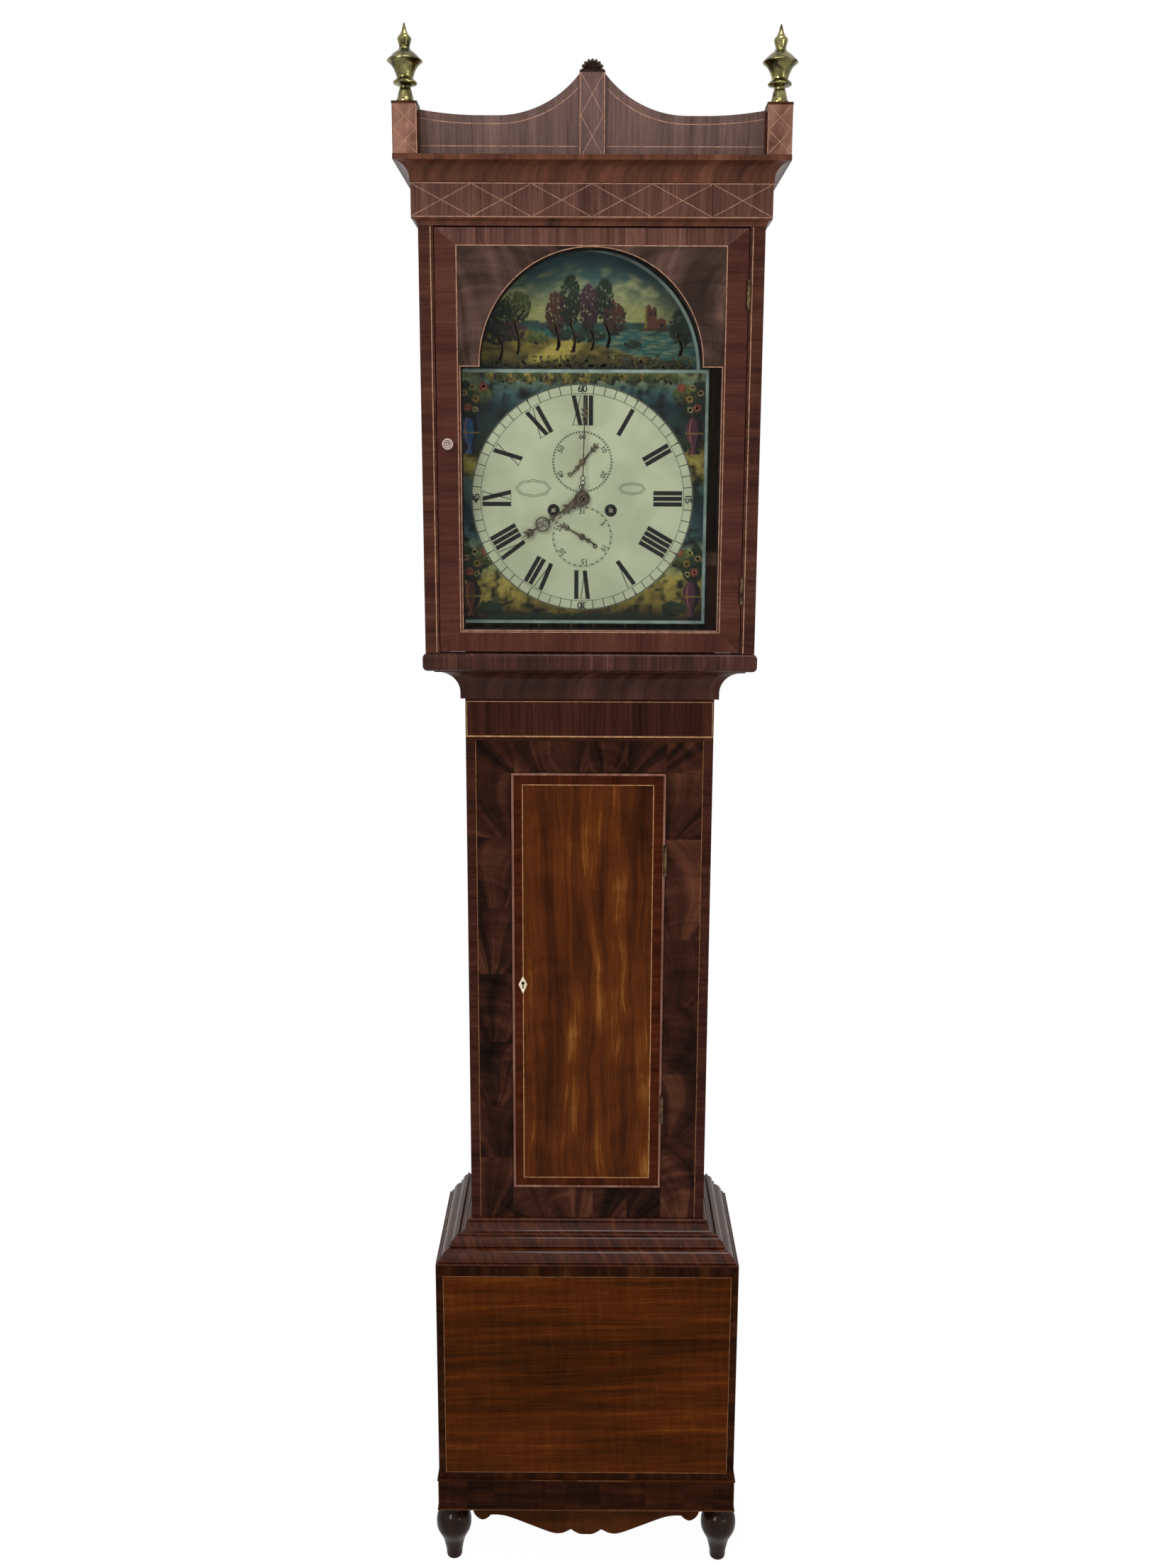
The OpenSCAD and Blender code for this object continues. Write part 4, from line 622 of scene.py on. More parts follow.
def dressBase(look):
    face, skirt = ("front", look["faceY"]), ("front", look["skirtY"])
    w, edge = look["half"], look["edge"]
    inner = (edge - w, look["low"] + look["bottomEdge"], w - edge, look["high"] - look["topEdge"])
    leaves = mitredFrame(face, (-w, look["low"], w, look["high"]), inner, (0.52, 0.56, 0.5, 0.54))
    dice = random.Random(look["seed"])
    for side, cuts, high in ((skirt, look["skirtCuts"], 0.66),
                             (("right", look["sideX"]), look["sideCuts"], 0.6),
                             (("left", -look["sideX"]), [-c for c in look["sideCuts"][::-1]],
                              0.6)):
        leaves += [leaf(side, box(a0, look["skirtLow"], a1, look["skirtHigh"]), 0,
                        dice.uniform(0.42, high), 0.5) for a0, a1 in pairwise(cuts)]
    veneerSheet("base_crossbanding", "case", "skirtMahogany", leaves)
    veneerSheet("base_panel_veneer", "case", "baseMahogany", [leaf(face, box(*inner), 1.5)])
    # a line let into the panel, and highlights painted along the crests of the skirt's beads
    lines = [line(face, box(*inner), closed=True)]
    lines += [line(("front", look["skirtY"] - 1.75), [(a0, z), (a1, z)], 0.7, 0.12)
              for a0, a1, z in look["crestHighlights"]]
    stringing("base_stringing", "case", "dullStringing", lines)


dressBase(baseLook)
print("base veneered")

waistLook = {"faceY": -50.8, "half": 183.5, "band": 169, "low": 598, "flameTop": 1364,
             "stringTop": 1371, "leafTop": 1428, "lineTop": 1423, "lineHalf": 181.5,
             "door": (-117.6, 650, 115.2, 1317), "cell": 9, "seed": 11,
             "bandCuts": (598, 676, 760, 850, 930, 1030, 1120, 1200, 1290, 1371),
             "leftCuts": (598, 700, 786, 892, 1002, 1107, 1217, 1317),
             "rightCuts": (598, 735, 840, 950, 1058, 1215, 1317),
             "topCuts": (-169, -112, -58, 0, 58, 115.2, 169),
             "bottomCuts": (-117.6, -62, 8, 62, 115.2)}


def dressWaist(look):
    face = ("front", look["faceY"])
    w, b = look["half"], look["band"]
    low, top, flameTop = look["low"], look["stringTop"], look["flameTop"]
    dice = random.Random(look["seed"])
    bands = [leaf(face, box(a0, z0, a1, z1), 0, dice.uniform(0.46, 0.56))
             for a0, a1 in ((-w, -b), (b, w)) for z0, z1 in pairwise(look["bandCuts"])]
    # cross-cut leaves over the door
    a = -w
    while a < w - 0.5:
        a1 = min(w, a + dice.uniform(14, 34))
        bands.append(leaf(face, box(a, top, a1, look["leafTop"]), 90 + dice.uniform(-2, 2),
                          dice.uniform(0.42, 0.6), 0.15))
        a = a1
    bands.append(leaf(face, box(-b, flameTop, b, top), 0, 0.42))
    veneerSheet("waist_crossbanding", "case", "waistMahogany", bands)
    x0, z0, x1, z1 = look["door"]
    leaves = []

    def flame(outline, center, spread, swirl):
        leaves.append(leaf(face, box(*outline), plume(*center, spread, swirl),
                           dice.uniform(0.38, 0.6), dice.uniform(0.4, 0.9), look["cell"]))

    for a0, a1, cuts, sign in ((-b, x0, look["leftCuts"], -1), (x1, b, look["rightCuts"], 1)):
        for c0, c1 in pairwise(cuts):
            center = (a0 + (a1 - a0) * dice.uniform(0.1, 0.9), c0 - dice.uniform(10, 40))
            flame((a0, c0, a1, c1), center, dice.uniform(0.8, 1.4), sign * dice.uniform(0.2, 0.8))
    for cuts, c0, c1, share, under in ((look["topCuts"], z1, flameTop, 0.6, 22),
                                       (look["bottomCuts"], low, z0, 0.7, 30)):
        for a0, a1 in pairwise(cuts):
            flame((a0, c0, a1, c1), ((a0 + a1) / 2 * share, c0 - under), 1.2,
                  dice.uniform(-0.5, 0.5))
    veneerSheet("waist_flame_veneer", "case", "flameMahogany", leaves)
    stringing("waist_side_stringing", "case", "dullStringing", [
        line(face, [(s * b, low), (s * b, flameTop)], 1.1) for s in (-1, 1)])
    half, lineTop = look["lineHalf"], look["lineTop"]
    stringing("waist_stringing", "case", "hollyStringing", [
        line(face, [(-w, top), (w, top)], 2.2, 0.5),
        line(face, [(-half, top), (-half, lineTop), (half, lineTop), (half, top)])])


dressWaist(waistLook)
print("waist veneered")

doorLook = {"faceY": -51.8, "outer": (-112.95, 654.5, 110.55, 1312.5),
            "inner": (-100, 667, 96, 1298), "hole": (-102.6, 978, -97.9, 991),
            "bead": 3.5, "beadBase": 2.02, "beadRise": 1.0}


def dressWaistDoor(look):
    face = ("front", look["faceY"])
    (x0, z0, x1, z1), (h0, h1, h2, h3) = look["inner"], look["hole"]
    leaves = mitredFrame(face, look["outer"], look["inner"], (0.48, 0.52, 0.48, 0.5))
    # the left strip and the panel are notched for the keyhole under its plate
    leaves[3]["outline"][2:] = [(x0, z0), (x0, h1), (h0, h1), (h0, h3), (x0, h3), (x0, z1)]
    veneerSheet("waist_door_crossbanding", "waist_door", "bandMahogany", leaves)
    panel = box(x0, z0, x1, z1) + [(x0, h3), (h2, h3), (h2, h1), (x0, h1)]
    veneerSheet("waist_door_veneer", "waist_door", "doorMahogany", [
        leaf(face, panel, 91.0, figure=0.36)])
    stringing("waist_door_stringing", "waist_door", "hollyStringing", [
        line(face, [(x0, h3), (x0, z1), (x1, z1), (x1, z0), (x0, z0), (x0, h1)], 1.2)])


def dressCockBead(look):
    mesh = bmesh.new()
    x0, z0, x1, z1 = look["outer"]
    half = look["bead"] / 2
    addBead(mesh, facing("front", look["faceY"]), box(x0 - half, z0 - half, x1 + half, z1 + half),
            look["bead"] + 0.1, look["beadBase"], look["beadRise"])
    # the bead's pale wood is a painted highlight
    finishMesh("waist_door_cock_bead", mesh, woods["beadHighlightMahogany"], "waist_door")


dressWaistDoor(doorLook)
dressCockBead(doorLook)
print("waist door veneered")

hoodLook = {"faceY": -100.8, "stile": 214.6, "half": 235, "line": 218.6, "seed": 23,
            "stileCuts": (1500, 1570.5, 1608.5, 1700, 1790, 1900, 1970.5, 2008.5, 2078),
            "hingeFeet": (1570.5, 1970.5), "hingeEdge": 217.6,
            "friezeY": -108.8, "friezeHalf": 243, "friezeLow": 2087, "friezeHigh": 2132,
            "friezeBack": 136, "lozenges": 6, "wingY": -97.8, "wing": (17.4, 230.2),
            "wingLine": (19, 230), "topZ": 2163, "middleY": -105.8, "middleHalf": 17,
            "middleHigh": 107, "cornerY": -129.3, "cornerX": 247, "cornerHalf": 16.3,
            "cornerHigh": 62, "capLine": 231.4}
# swept edge of the pediment: its low arc and its high arc, each with its reach, its rise and
# where it lies level, in mm from the middle of the case
sweepLook = {"from": 127, "low": (109.8, 52.0, 127.0), "high": (80.5, 7.0, 150.0), "foot": 55}


def wingLow(x, inset=0.0):
    # height of the swept edge over the cornice at x, or of a line inset mm under it
    look = sweepLook
    side, rise, level = look["low"] if x < look["from"] else look["high"]
    r = (side * side + rise * rise) / (2 * rise)
    away = level - x if x < look["from"] else max(x - level, 0)
    return look["foot"] + r - math.sqrt((r + inset) ** 2 - away ** 2)


def dressHood(look):
    dice = random.Random(look["seed"])
    face, frieze = ("front", look["faceY"]), ("front", look["friezeY"])
    wing, top = ("front", look["wingY"]), look["topZ"]
    leaves = []
    for s in (-1, 1):
        for z0, z1 in pairwise(look["stileCuts"]):
            near = look["hingeEdge"] if s > 0 and z0 in look["hingeFeet"] else look["stile"]
            a0, a1 = sorted((s * near, s * look["half"]))
            leaves.append(leaf(face, box(a0, z0, a1, z1), 0, dice.uniform(0.48, 0.52), 0.25))
    veneerSheet("hood_stile_veneer", "hood", "stileMahogany", leaves)

    w, z0, z1 = look["friezeHalf"], look["friezeLow"] + 0.2, look["friezeHigh"] - 0.2
    leaves = acrossLeaves(frieze, -w, w, z0, z1, dice, 10, 34, (0.42, 0.58))
    near, back = look["friezeY"], look["friezeBack"]
    for side, plane, ends in (("right", w, (near, back)), ("left", -w, (-back, -near))):
        leaves += acrossLeaves((side, plane), *ends, z0, z1, dice, 14, 40, (0.4, 0.54))
    veneerSheet("frieze_veneer", "hood", "friezeMahogany", leaves)

    # wings of the pediment, laid in leaves up to the swept edge, and the blocks
    leaves = []
    for s in (-1, 1):
        x, end = look["wing"]
        while x < end - 0.2:
            x1 = min(end, x + dice.uniform(9, 24))
            steps = [x + (x1 - x) * i / 4 for i in range(5)]
            upper = [(v, top + wingLow(v) - 0.15) for v in steps]
            outline = [(x, top), (x1, top)] + upper[::-1]
            if s < 0:
                outline = [(-a, b) for a, b in outline][::-1]
            leaves.append(leaf(wing, outline, 90 - s * dice.uniform(0, 3),
                               dice.uniform(0.42, 0.6), 0.15))
            x = x1
    half, high = look["middleHalf"], top + look["middleHigh"]
    leaves.append(leaf(("front", look["middleY"]), box(-half, top + 0.2, half, high - 0.2), 90))
    corner, half, cap = look["cornerX"], look["cornerHalf"], top + look["cornerHigh"]
    veneerSheet("corner_block_veneer", "hood", "blockMahogany", [
        leaf(("front", look["cornerY"]), box(x - half, top + 0.3, x + half, cap - 0.2), angle,
             figure=0.7) for x, angle in ((-corner, 84), (corner, 70))])
    veneerSheet("pediment_veneer", "hood", "wingMahogany", leaves)


def dressHoodLines(look):
    face, frieze = ("front", look["faceY"]), ("front", look["friezeY"])
    wing, top = ("front", look["wingY"]), look["topZ"]
    w, edge = look["friezeHalf"], look["line"]
    lines = [line(face, [(s * edge, look["stileCuts"][0] + 0.5),
                         (s * edge, look["stileCuts"][-1] - 0.5)], 1.3) for s in (-1, 1)]
    near, back = look["friezeY"] + 0.8, look["friezeBack"] - 1
    lines += [line(side, [(a0, z), (a1, z)], 1.1)
              for side, a0, a1 in ((frieze, -w, w), (("right", w), near, back),
                                   (("left", -w), -back, -near))
              for z in (look["friezeLow"] + 1.2, look["friezeHigh"] - 1.4)]
    step = 2 * w / look["lozenges"]
    low, high = look["friezeLow"] + 2.2, look["friezeHigh"] - 2.4
    for k in range(look["lozenges"]):
        a0, a1 = -w + k * step + 1.5, -w + (k + 1) * step - 1.5
        lines += [line(frieze, [(a0, high), (a1, low)], 0.8),
                  line(frieze, [(a0, low), (a1, high)], 0.8, 0.46)]
    middle, middleTop = ("front", look["middleY"]), top + look["middleHigh"]
    start, end = look["wingLine"]
    for s in (-1, 1):
        sweep = [(s * x, top + wingLow(x, 10.6)) for x in
                 [start + (end - start) * i / 48 for i in range(49)]]
        foot = [(s * (start - 1), top + 16.4), (s * end, top + 16.4)]
        lines += [line(wing, sweep[::-s], 1.1), line(wing, foot[::s], 1.2),
                  line(middle, [(s * 16.2, top + 0.5), (s * 16.2, middleTop - 0.5)], 1.1)]
    # crossed lines on the blocks
    corner, cap = ("front", look["cornerY"]), top + look["cornerHigh"]
    for block, x, high in ((middle, 0, middleTop), (corner, -look["cornerX"], cap),
                           (corner, look["cornerX"], cap)):
        cuts = [top + 1 + (high - top - 2) * i / 2 for i in range(3)]
        for z0, z1 in pairwise(cuts):
            lines += [line(block, [(x - 15.2, a), (x + 15.2, b)], 0.8, proud)
                      for a, b, proud in ((z0, z1, 0.42), (z1, z0, 0.46))]
    lines += [line(corner, [(s * look["capLine"], top + 0.6), (s * look["capLine"], cap - 0.6)])
              for s in (-1, 1)]
    stringing("hood_stringing", "hood", "paleStringing", lines)


dressHood(hoodLook)
dressHoodLines(hoodLook)
print("hood veneered")

hoodDoorLook = {"faceY": -100.8, "outer": (-213.3, 1502.2, 213.3, 2075.8),
                "inner": (-184, 1530, 184, 2053), "sight": 180, "sightLow": 1533,
                "shoulder": 1894.5, "archZ": 1897.5, "archR": 153.5, "knuckle": 210.6,
                "hinges": ((1570.5, 1608.5), (1970.5, 2008.5)), "seed": 31, "cell": 9,
                "plumes": ((-150, 1860, 1.1, 0.5, 80), (150, 1850, 1.1, -0.5, 80))}


def dressHoodDoor(look):
    face = ("front", look["faceY"])
    (x0, z0, x1, z1), (i0, j0, i1, j1) = look["outer"], look["inner"]
    dice = random.Random(look["seed"])
    strips = mitredFrame(face, look["outer"], look["inner"], (0.56, 0.5, 0.5, 0.52), 0.2)
    # the top rail is laid in short leaves and the right strip is notched round the hinges
    strips.pop(2)
    right = [(x1, z0)]
    for low, high in look["hinges"]:
        right += [(x1, low), (look["knuckle"], low), (look["knuckle"], high), (x1, high)]
    strips[1]["outline"] = right + [(x1, z1), (i1, j1), (i1, j0)]
    leaves = [leaf(face, outline, 90, 0.48) for outline in (
        [(x0, z1), (i0, j1), (i0, z1)], [(i1, z1), (i1, j1), (x1, z1)])]
    leaves += acrossLeaves(face, i0, i1, j1, z1, dice, 9, 30, (0.44, 0.6))
    s, low, sh = look["sight"], look["sightLow"], look["shoulder"]
    strips += [leaf(face, outline, grain, 0.42)
               for outline, grain in ((box(i0, j0, i1, low), 0), (box(i0, low, -s, sh), 90),
                                      (box(s, low, i1, sh), 90))]
    veneerSheet("hood_door_crossbanding", "hood_door", "redStileMahogany", strips)
    veneerSheet("hood_door_top_rail", "hood_door", "friezeMahogany", leaves)
    # feathered leaves over the arch, mirrored about its middle
    foot = math.sqrt(look["archR"] ** 2 - (look["archZ"] - sh) ** 2)
    start = math.degrees(math.acos(foot / look["archR"]))
    curve = arcPoints(0, look["archZ"], look["archR"] + 0.1, 180 + start, 90, 24)
    left = [(i0, sh)] + curve + [(0, j1), (i0, j1)]
    veneerSheet("hood_spandrels", "hood_door", "spandrelMahogany", [
        leaf(face, outline, plume(*warp), tone, 0.8, look["cell"])
        for outline, warp, tone in ((left, look["plumes"][0], 0.56),
                                    ([(-a, b) for a, b in left][::-1], look["plumes"][1], 0.45))])
    arch = arcPoints(0, look["archZ"], look["archR"] + 0.8, 180 + start, -start, 72)
    s, low, sh = s + 0.6, low - 0.6, sh + 0.6
    edge = [(-s, low), (-s, sh), (arch[0][0], sh), *arch[1:-1], (arch[-1][0], sh), (s, sh),
            (s, low)]
    stringing("hood_door_stringing", "hood_door", "paleStringing", [
        line(face, edge, 1.2, 0.48, True), line(face, box(i0, j0, i1, j1), 1.3, closed=True)])


dressHoodDoor(hoodDoorLook)
print("hood door veneered")

dialLook = {"x": -12.0, "z": 1717.0, "faceY": -56.8, "half": 178.0, "disc": 158.8,
            "archR": 165.0, "archDrop": 3.0, "track": (145.2, 157.4), "numerals": (102, 142.5),
            "seconds": (51, 42.5), "calendar": (-54, 42.6), "winding": (40.96, -16.6, 6.5),
            "border": 4.4, "brushSeed": 7, "archCells": (96, 60), "cornerCells": (110, 110)}
paints = {"skyHigh": "#122428", "skyMid": "#34504c", "skyLow": "#77794a", "cloud": "#84855c",
          "hillFar": "#26403e", "hillNear": "#1c2a20", "lake": "#234b46", "lakeDark": "#16302f",
          "field": "#5f5420", "path": "#857838", "earth": "#2e2110", "dark": "#0c0c0b",
          "leaf": "#1c2a1a", "leafBright": "#4a5428", "bark": "#20140e", "russet": "#43261a",
          "rose": "#552319", "roseLight": "#84503c", "blue": "#1f3f5e", "plum": "#3c212b"}
paints = {name: Vector(hexColor(value)[:3]) for name, value in paints.items()}


def onDial(x, z, out):
    # a place in mm from the dial's centre, out in front of its face
    return Vector((dialLook["x"] + x, dialLook["faceY"] - out, dialLook["z"] + z)) * mm


def blendPaint(a, b, t):
    first = paints[a] if isinstance(a, str) else a
    return first.lerp(paints[b], min(max(t, 0), 1))


def wobble(x, z, size, seed=0.0):
    return noise.noise(Vector((x / size, z / size, seed)))


def archScene(x, z):
    # a lake at dusk under far hills; x and z from the middle of the arch's foot
    horizon = 64 + 7 * wobble(x, 0, 46, 2.0)
    shore = 36 - 0.2 * x + 7 * wobble(x, 0, 30, 5.0)
    if z > horizon:
        color = blendPaint("skyLow", "skyMid", (z - horizon - 14) / 46)
        color = blendPaint(color, "skyHigh", math.hypot(x * 0.8, z - 40) / 50 - 1.5)
        puff = wobble(x, z * 1.9, 34, 8.0) + 0.5 * wobble(x, z * 2, 13, 3.0)
        return blendPaint(color, "cloud", (puff + 0.04) * 1.8 * (1 - abs(z - 106) / 42))
    if z > horizon - 9 - 0.02 * abs(x):
        return blendPaint("hillFar", "hillNear", 0.6 + wobble(x, z, 12, 4.0))
    if z > shore:
        color = blendPaint("lake", "lakeDark", 0.45 + 0.9 * wobble(x, z * 6, 22, 9.0))
        return blendPaint(color, "skyLow", 0.7 * (wobble(x, z * 9, 18, 1.0) - 0.05))
    color = blendPaint("field", "earth", 0.3 + 1.3 * wobble(x, z * 2, 24, 6.0) + (18 - z) / 40)
    color = blendPaint(color, "dark", 0.25 + wobble(x, z * 2.4, 15, 2.0))
    track = abs(x + 66 - z * 1.3 + 12 * wobble(x, z, 20, 11.0)) - 9 - (shore - z) * 0.4
    color = blendPaint(color, "path", 0.85 - track / 14)
    return blendPaint(color, "dark", (16 - z) / 11 + 0.5 * wobble(x, z * 3, 18, 12.0))


# heights of the colours behind the urns in the corners, from the dial's centre
cornerBands = ((-178, "dark"), (-166, "earth"), (-150, "field"), (-116, "path"), (-104, "skyLow"),
               (-84, "cloud"), (-60, "skyMid"), (-20, "skyHigh"), (14, "skyMid"), (30, "field"),
               (54, "path"), (66, "earth"), (84, "hillNear"), (128, "skyHigh"), (150, "skyMid"),
               (178, "skyLow"))


def cornerScene(x, z):
    level = min(max(z + 14 * wobble(x, z, 38, 3.0), -177.9), 177.9)
    for (low, under), (high, over) in pairwise(cornerBands):
        if low <= level < high:
            color = blendPaint(under, over, (level - low) / (high - low))
    return blendPaint(color, "dark", 0.36 + 1.2 * wobble(x, z, 17, 7.0) - wobble(x, z, 6, 1.0))


def paintGrid(name, cells, spot, shade, keep):
    # a fine grid over the dial whose corners hold the colours of the scene
    columns, rows = cells
    mesh = bmesh.new()
    layer = mesh.verts.layers.float_color.new("paint")
    grid = []
    for j in range(rows + 1):
        grid.append([])
        for i in range(columns + 1):
            x, z = spot(i / columns, j / rows)
            vert = mesh.verts.new(onDial(x, z, 0.05))
            vert[layer] = (*shade(x, z), 1.0)
            grid[-1].append(vert)
    for j in range(rows):
        for i in range(columns):
            if keep(*spot((i + 0.5) / columns, (j + 0.5) / rows)):
                mesh.faces.new((grid[j][i], grid[j][i + 1], grid[j + 1][i + 1], grid[j + 1][i]))
    loose = [v for v in mesh.verts if not v.link_faces]
    bmesh.ops.delete(mesh, geom=loose, context="VERTS")
    finishMesh(name, mesh, oilPaint, "case")


def dressDialScene(look):
    foot, r, drop = look["half"], look["archR"], look["archDrop"]

    def archSpot(u, v):
        z = (r - drop) * v * 0.999
        half = math.sqrt(r ** 2 - (z + drop) ** 2) - 0.3
        return ((u * 2 - 1) * half, foot + z)

    def squareSpot(u, v):
        edge = look["half"] - 0.3
        return ((u * 2 - 1) * edge, (v * 2 - 1) * edge)

    paintGrid("arch_painting", look["archCells"], archSpot,
              lambda x, z: archScene(x, z - foot), lambda x, z: True)
    paintGrid("corner_painting", look["cornerCells"], squareSpot, cornerScene,
              lambda x, z: math.hypot(x, z) > look["disc"] - 5)


dressDialScene(dialLook)


def newTree(name, inputs):
    # an empty Geometry Nodes tree with a mesh going in and out, and named inputs
    tree = bpy.data.node_groups.new(name, "GeometryNodeTree")
    tree.interface.new_socket("Geometry", in_out="INPUT", socket_type="NodeSocketGeometry")
    tree.interface.new_socket("Geometry", in_out="OUTPUT", socket_type="NodeSocketGeometry")
    for label, (kind, value) in {**inputs, "Material": ("Material", None)}.items():
        socket = tree.interface.new_socket(label, in_out="INPUT", socket_type="NodeSocket" + kind)
        if value is not None:
            socket.default_value = value
    return tree, tree.nodes.new("NodeGroupInput").outputs


def endTree(tree, inputs, geometry):
    # every tree ends with real geometry that wears its material
    real = addNode(tree, "GeometryNodeRealizeInstances", {"Geometry": geometry})
    dressed = addNode(tree, "GeometryNodeSetMaterial", {"Geometry": real,
                                                        "Material": inputs["Material"]})
    addNode(tree, "NodeGroupOutput", {0: dressed})
    return tree


def growPiece(name, tree, settings, body, source=None):
    # runs the tree on a source mesh and keeps its result as a plain mesh
    seedPiece = putInScene(name + "Seed", source or bpy.data.meshes.new(name + "Seed"))
    modifier = seedPiece.modifiers.new("grow", "NODES")
    modifier.node_group = tree
    for item in tree.interface.items_tree:
        if item.item_type == "SOCKET" and item.in_out == "INPUT" and item.name in settings:
            modifier[item.identifier] = settings[item.name]
    bpy.context.view_layer.update()
    grown = bpy.data.meshes.new_from_object(
        seedPiece.evaluated_get(bpy.context.evaluated_depsgraph_get()))
    bpy.data.objects.remove(seedPiece)
    grown.name = name
    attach(putInScene(name, grown), body)


def dabTree():
    # small brush dabs on the points of the source mesh, turned and sized at random
    tree, inputs = newTree("brushDabs", {"Length": ("Float", 0.002), "Width": ("Float", 0.001),
                                         "Seed": ("Int", 1)})
    dab = addNode(tree, "GeometryNodeMeshCircle", {"Radius": inputs["Length"], "Vertices": 6},
                  fill_type="NGON")
    turn = addNode(tree, "FunctionNodeRandomValue", {
        "Seed": inputs["Seed"], "Min": (math.pi / 2, 0.0, 0.0), "Max": (math.pi / 2, 6.28, 0.0)},
        data_type="FLOAT_VECTOR")
    narrow = addNode(tree, "ShaderNodeMath", {0: inputs["Width"], 1: inputs["Length"]},
                     operation="DIVIDE")
    size = addNode(tree, "FunctionNodeRandomValue", {"Seed": inputs["Seed"], 2: 0.6, 3: 1.3},
                   data_type="FLOAT")
    shape = addNode(tree, "ShaderNodeCombineXYZ", {0: 1.0, 1: narrow, 2: 1.0})
    flat = addNode(tree, "GeometryNodeTransform", {"Geometry": dab, "Scale": shape})
    return endTree(tree, inputs, addNode(tree, "GeometryNodeInstanceOnPoints", {
        "Points": inputs[0], "Instance": flat, "Rotation": turn, "Scale": size.outputs[1]}))


def paintDabs(name, dabs, length, width, seed):
    # dabs: x and z from the dial's centre, depth, colour
    data = bpy.data.meshes.new(name + "Points")
    data.from_pydata([onDial(*dab[:3]) for dab in dabs], [], [])
    layer = data.attributes.new("paint", "FLOAT_COLOR", "POINT")
    for item, dab in zip(layer.data, dabs):
        item.color = (*dab[3], 1.0)
    growPiece(name, dabTree(), {"Length": length * mm, "Width": width * mm, "Seed": seed,
                                "Material": oilPaint}, "case", data)


# autumn trees in the middle, a dark oak on the left and bushes on the shore, each a cluster
# of dabs: x and z of its middle, half its width and height, count, dark and light colour
sceneLook = {
    "trees": ((-122, 66, 24, 34, 420, "dark", "leaf"), (-92, 84, 19, 20, 240, "dark", "leafBright"),
              (-104, 52, 26, 14, 200, "dark", "plum"), (-38, 74, 13, 30, 300, "dark", "russet"),
              (-18, 92, 14, 34, 340, "dark", "leaf"), (8, 82, 13, 32, 320, "dark", "plum"),
              (30, 94, 13, 28, 260, "dark", "leaf"), (44, 68, 15, 22, 240, "dark", "russet"),
              (-2, 46, 34, 9, 220, "dark", "leaf"), (138, 56, 16, 26, 240, "dark", "leaf"),
              (70, 34, 12, 5, 80, "dark", "leaf"), (-64, 42, 14, 8, 110, "dark", "leafBright")),
    # x, foot and top of each trunk
    "trunks": ((-116, 12, 56), (-92, 20, 66), (-36, 26, 62), (-14, 24, 70), (12, 26, 64),
               (34, 30, 70), (136, 20, 46)),
    # an island with a ruined tower and a wall: outline, colour, height over the plate
    "ruin": (([(78, 52), (124, 52), (114, 58), (90, 60)], "earth", 0.07),
             ([(86, 56), (104, 56), (103, 82), (99, 86), (97, 80), (93, 88), (87, 84)], "russet",
              0.08),
             ([(86, 56), (90, 56), (89, 84), (87, 84)], "field", 0.09),
             ([(104, 56), (117, 56), (116, 66), (110, 70), (104, 68)], "russet", 0.08),
             ([(93, 72), (96, 72), (96, 78), (93, 78)], "dark", 0.09),
             ([(99, 72), (102, 72), (102, 78), (99, 78)], "dark", 0.09),
             ([(108, 56), (112, 56), (112, 62), (108, 62)], "dark", 0.09))}
# in each corner an urn on the ground, with leaves and flowers over it
urnLook = {
    "x": 159, "urns": ((-1, 62, "blue"), (1, 62, "plum"), (-1, -168, "russet"),
                       (1, -168, "plum")),
    "leaves": ((-26, 12, 18, 10, 160, "dark", "leaf"), (1, 68, 15, 18, 420, "dark", "leaf"),
               (-13, 82, 18, 13, 300, "dark", "leafBright"), (6, 90, 9, 9, 130, "dark", "leaf")),
    "flowers": ((3, 64, 4.2, "rose", "roseLight"), (-8, 76, 4.2, "russet", "path"),
                (8, 84, 3.2, "rose", "cloud"), (-19, 92, 4.6, "rose", "roseLight"),
                (-4, 92, 2.8, "field", "cloud"), (-7, 61, 2.6, "field", "cloud")),
    # half widths up the urn, and its glaze, shaded side and light streak across them
    "outline": ((8, 0), (8, 3), (4, 7), (4, 11), (10.5, 20), (13.2, 31), (12, 41), (6.5, 50),
                (6.5, 54), (10, 58)),
    "bands": ((None, 0.07, -1, 1), ("dark", 0.075, 0.35, 0.94),
              ("roseLight", 0.075, -0.62, -0.5)),
    "girdle": [(-12.7, 28), (12.7, 28), (13, 30), (-13, 30)]}


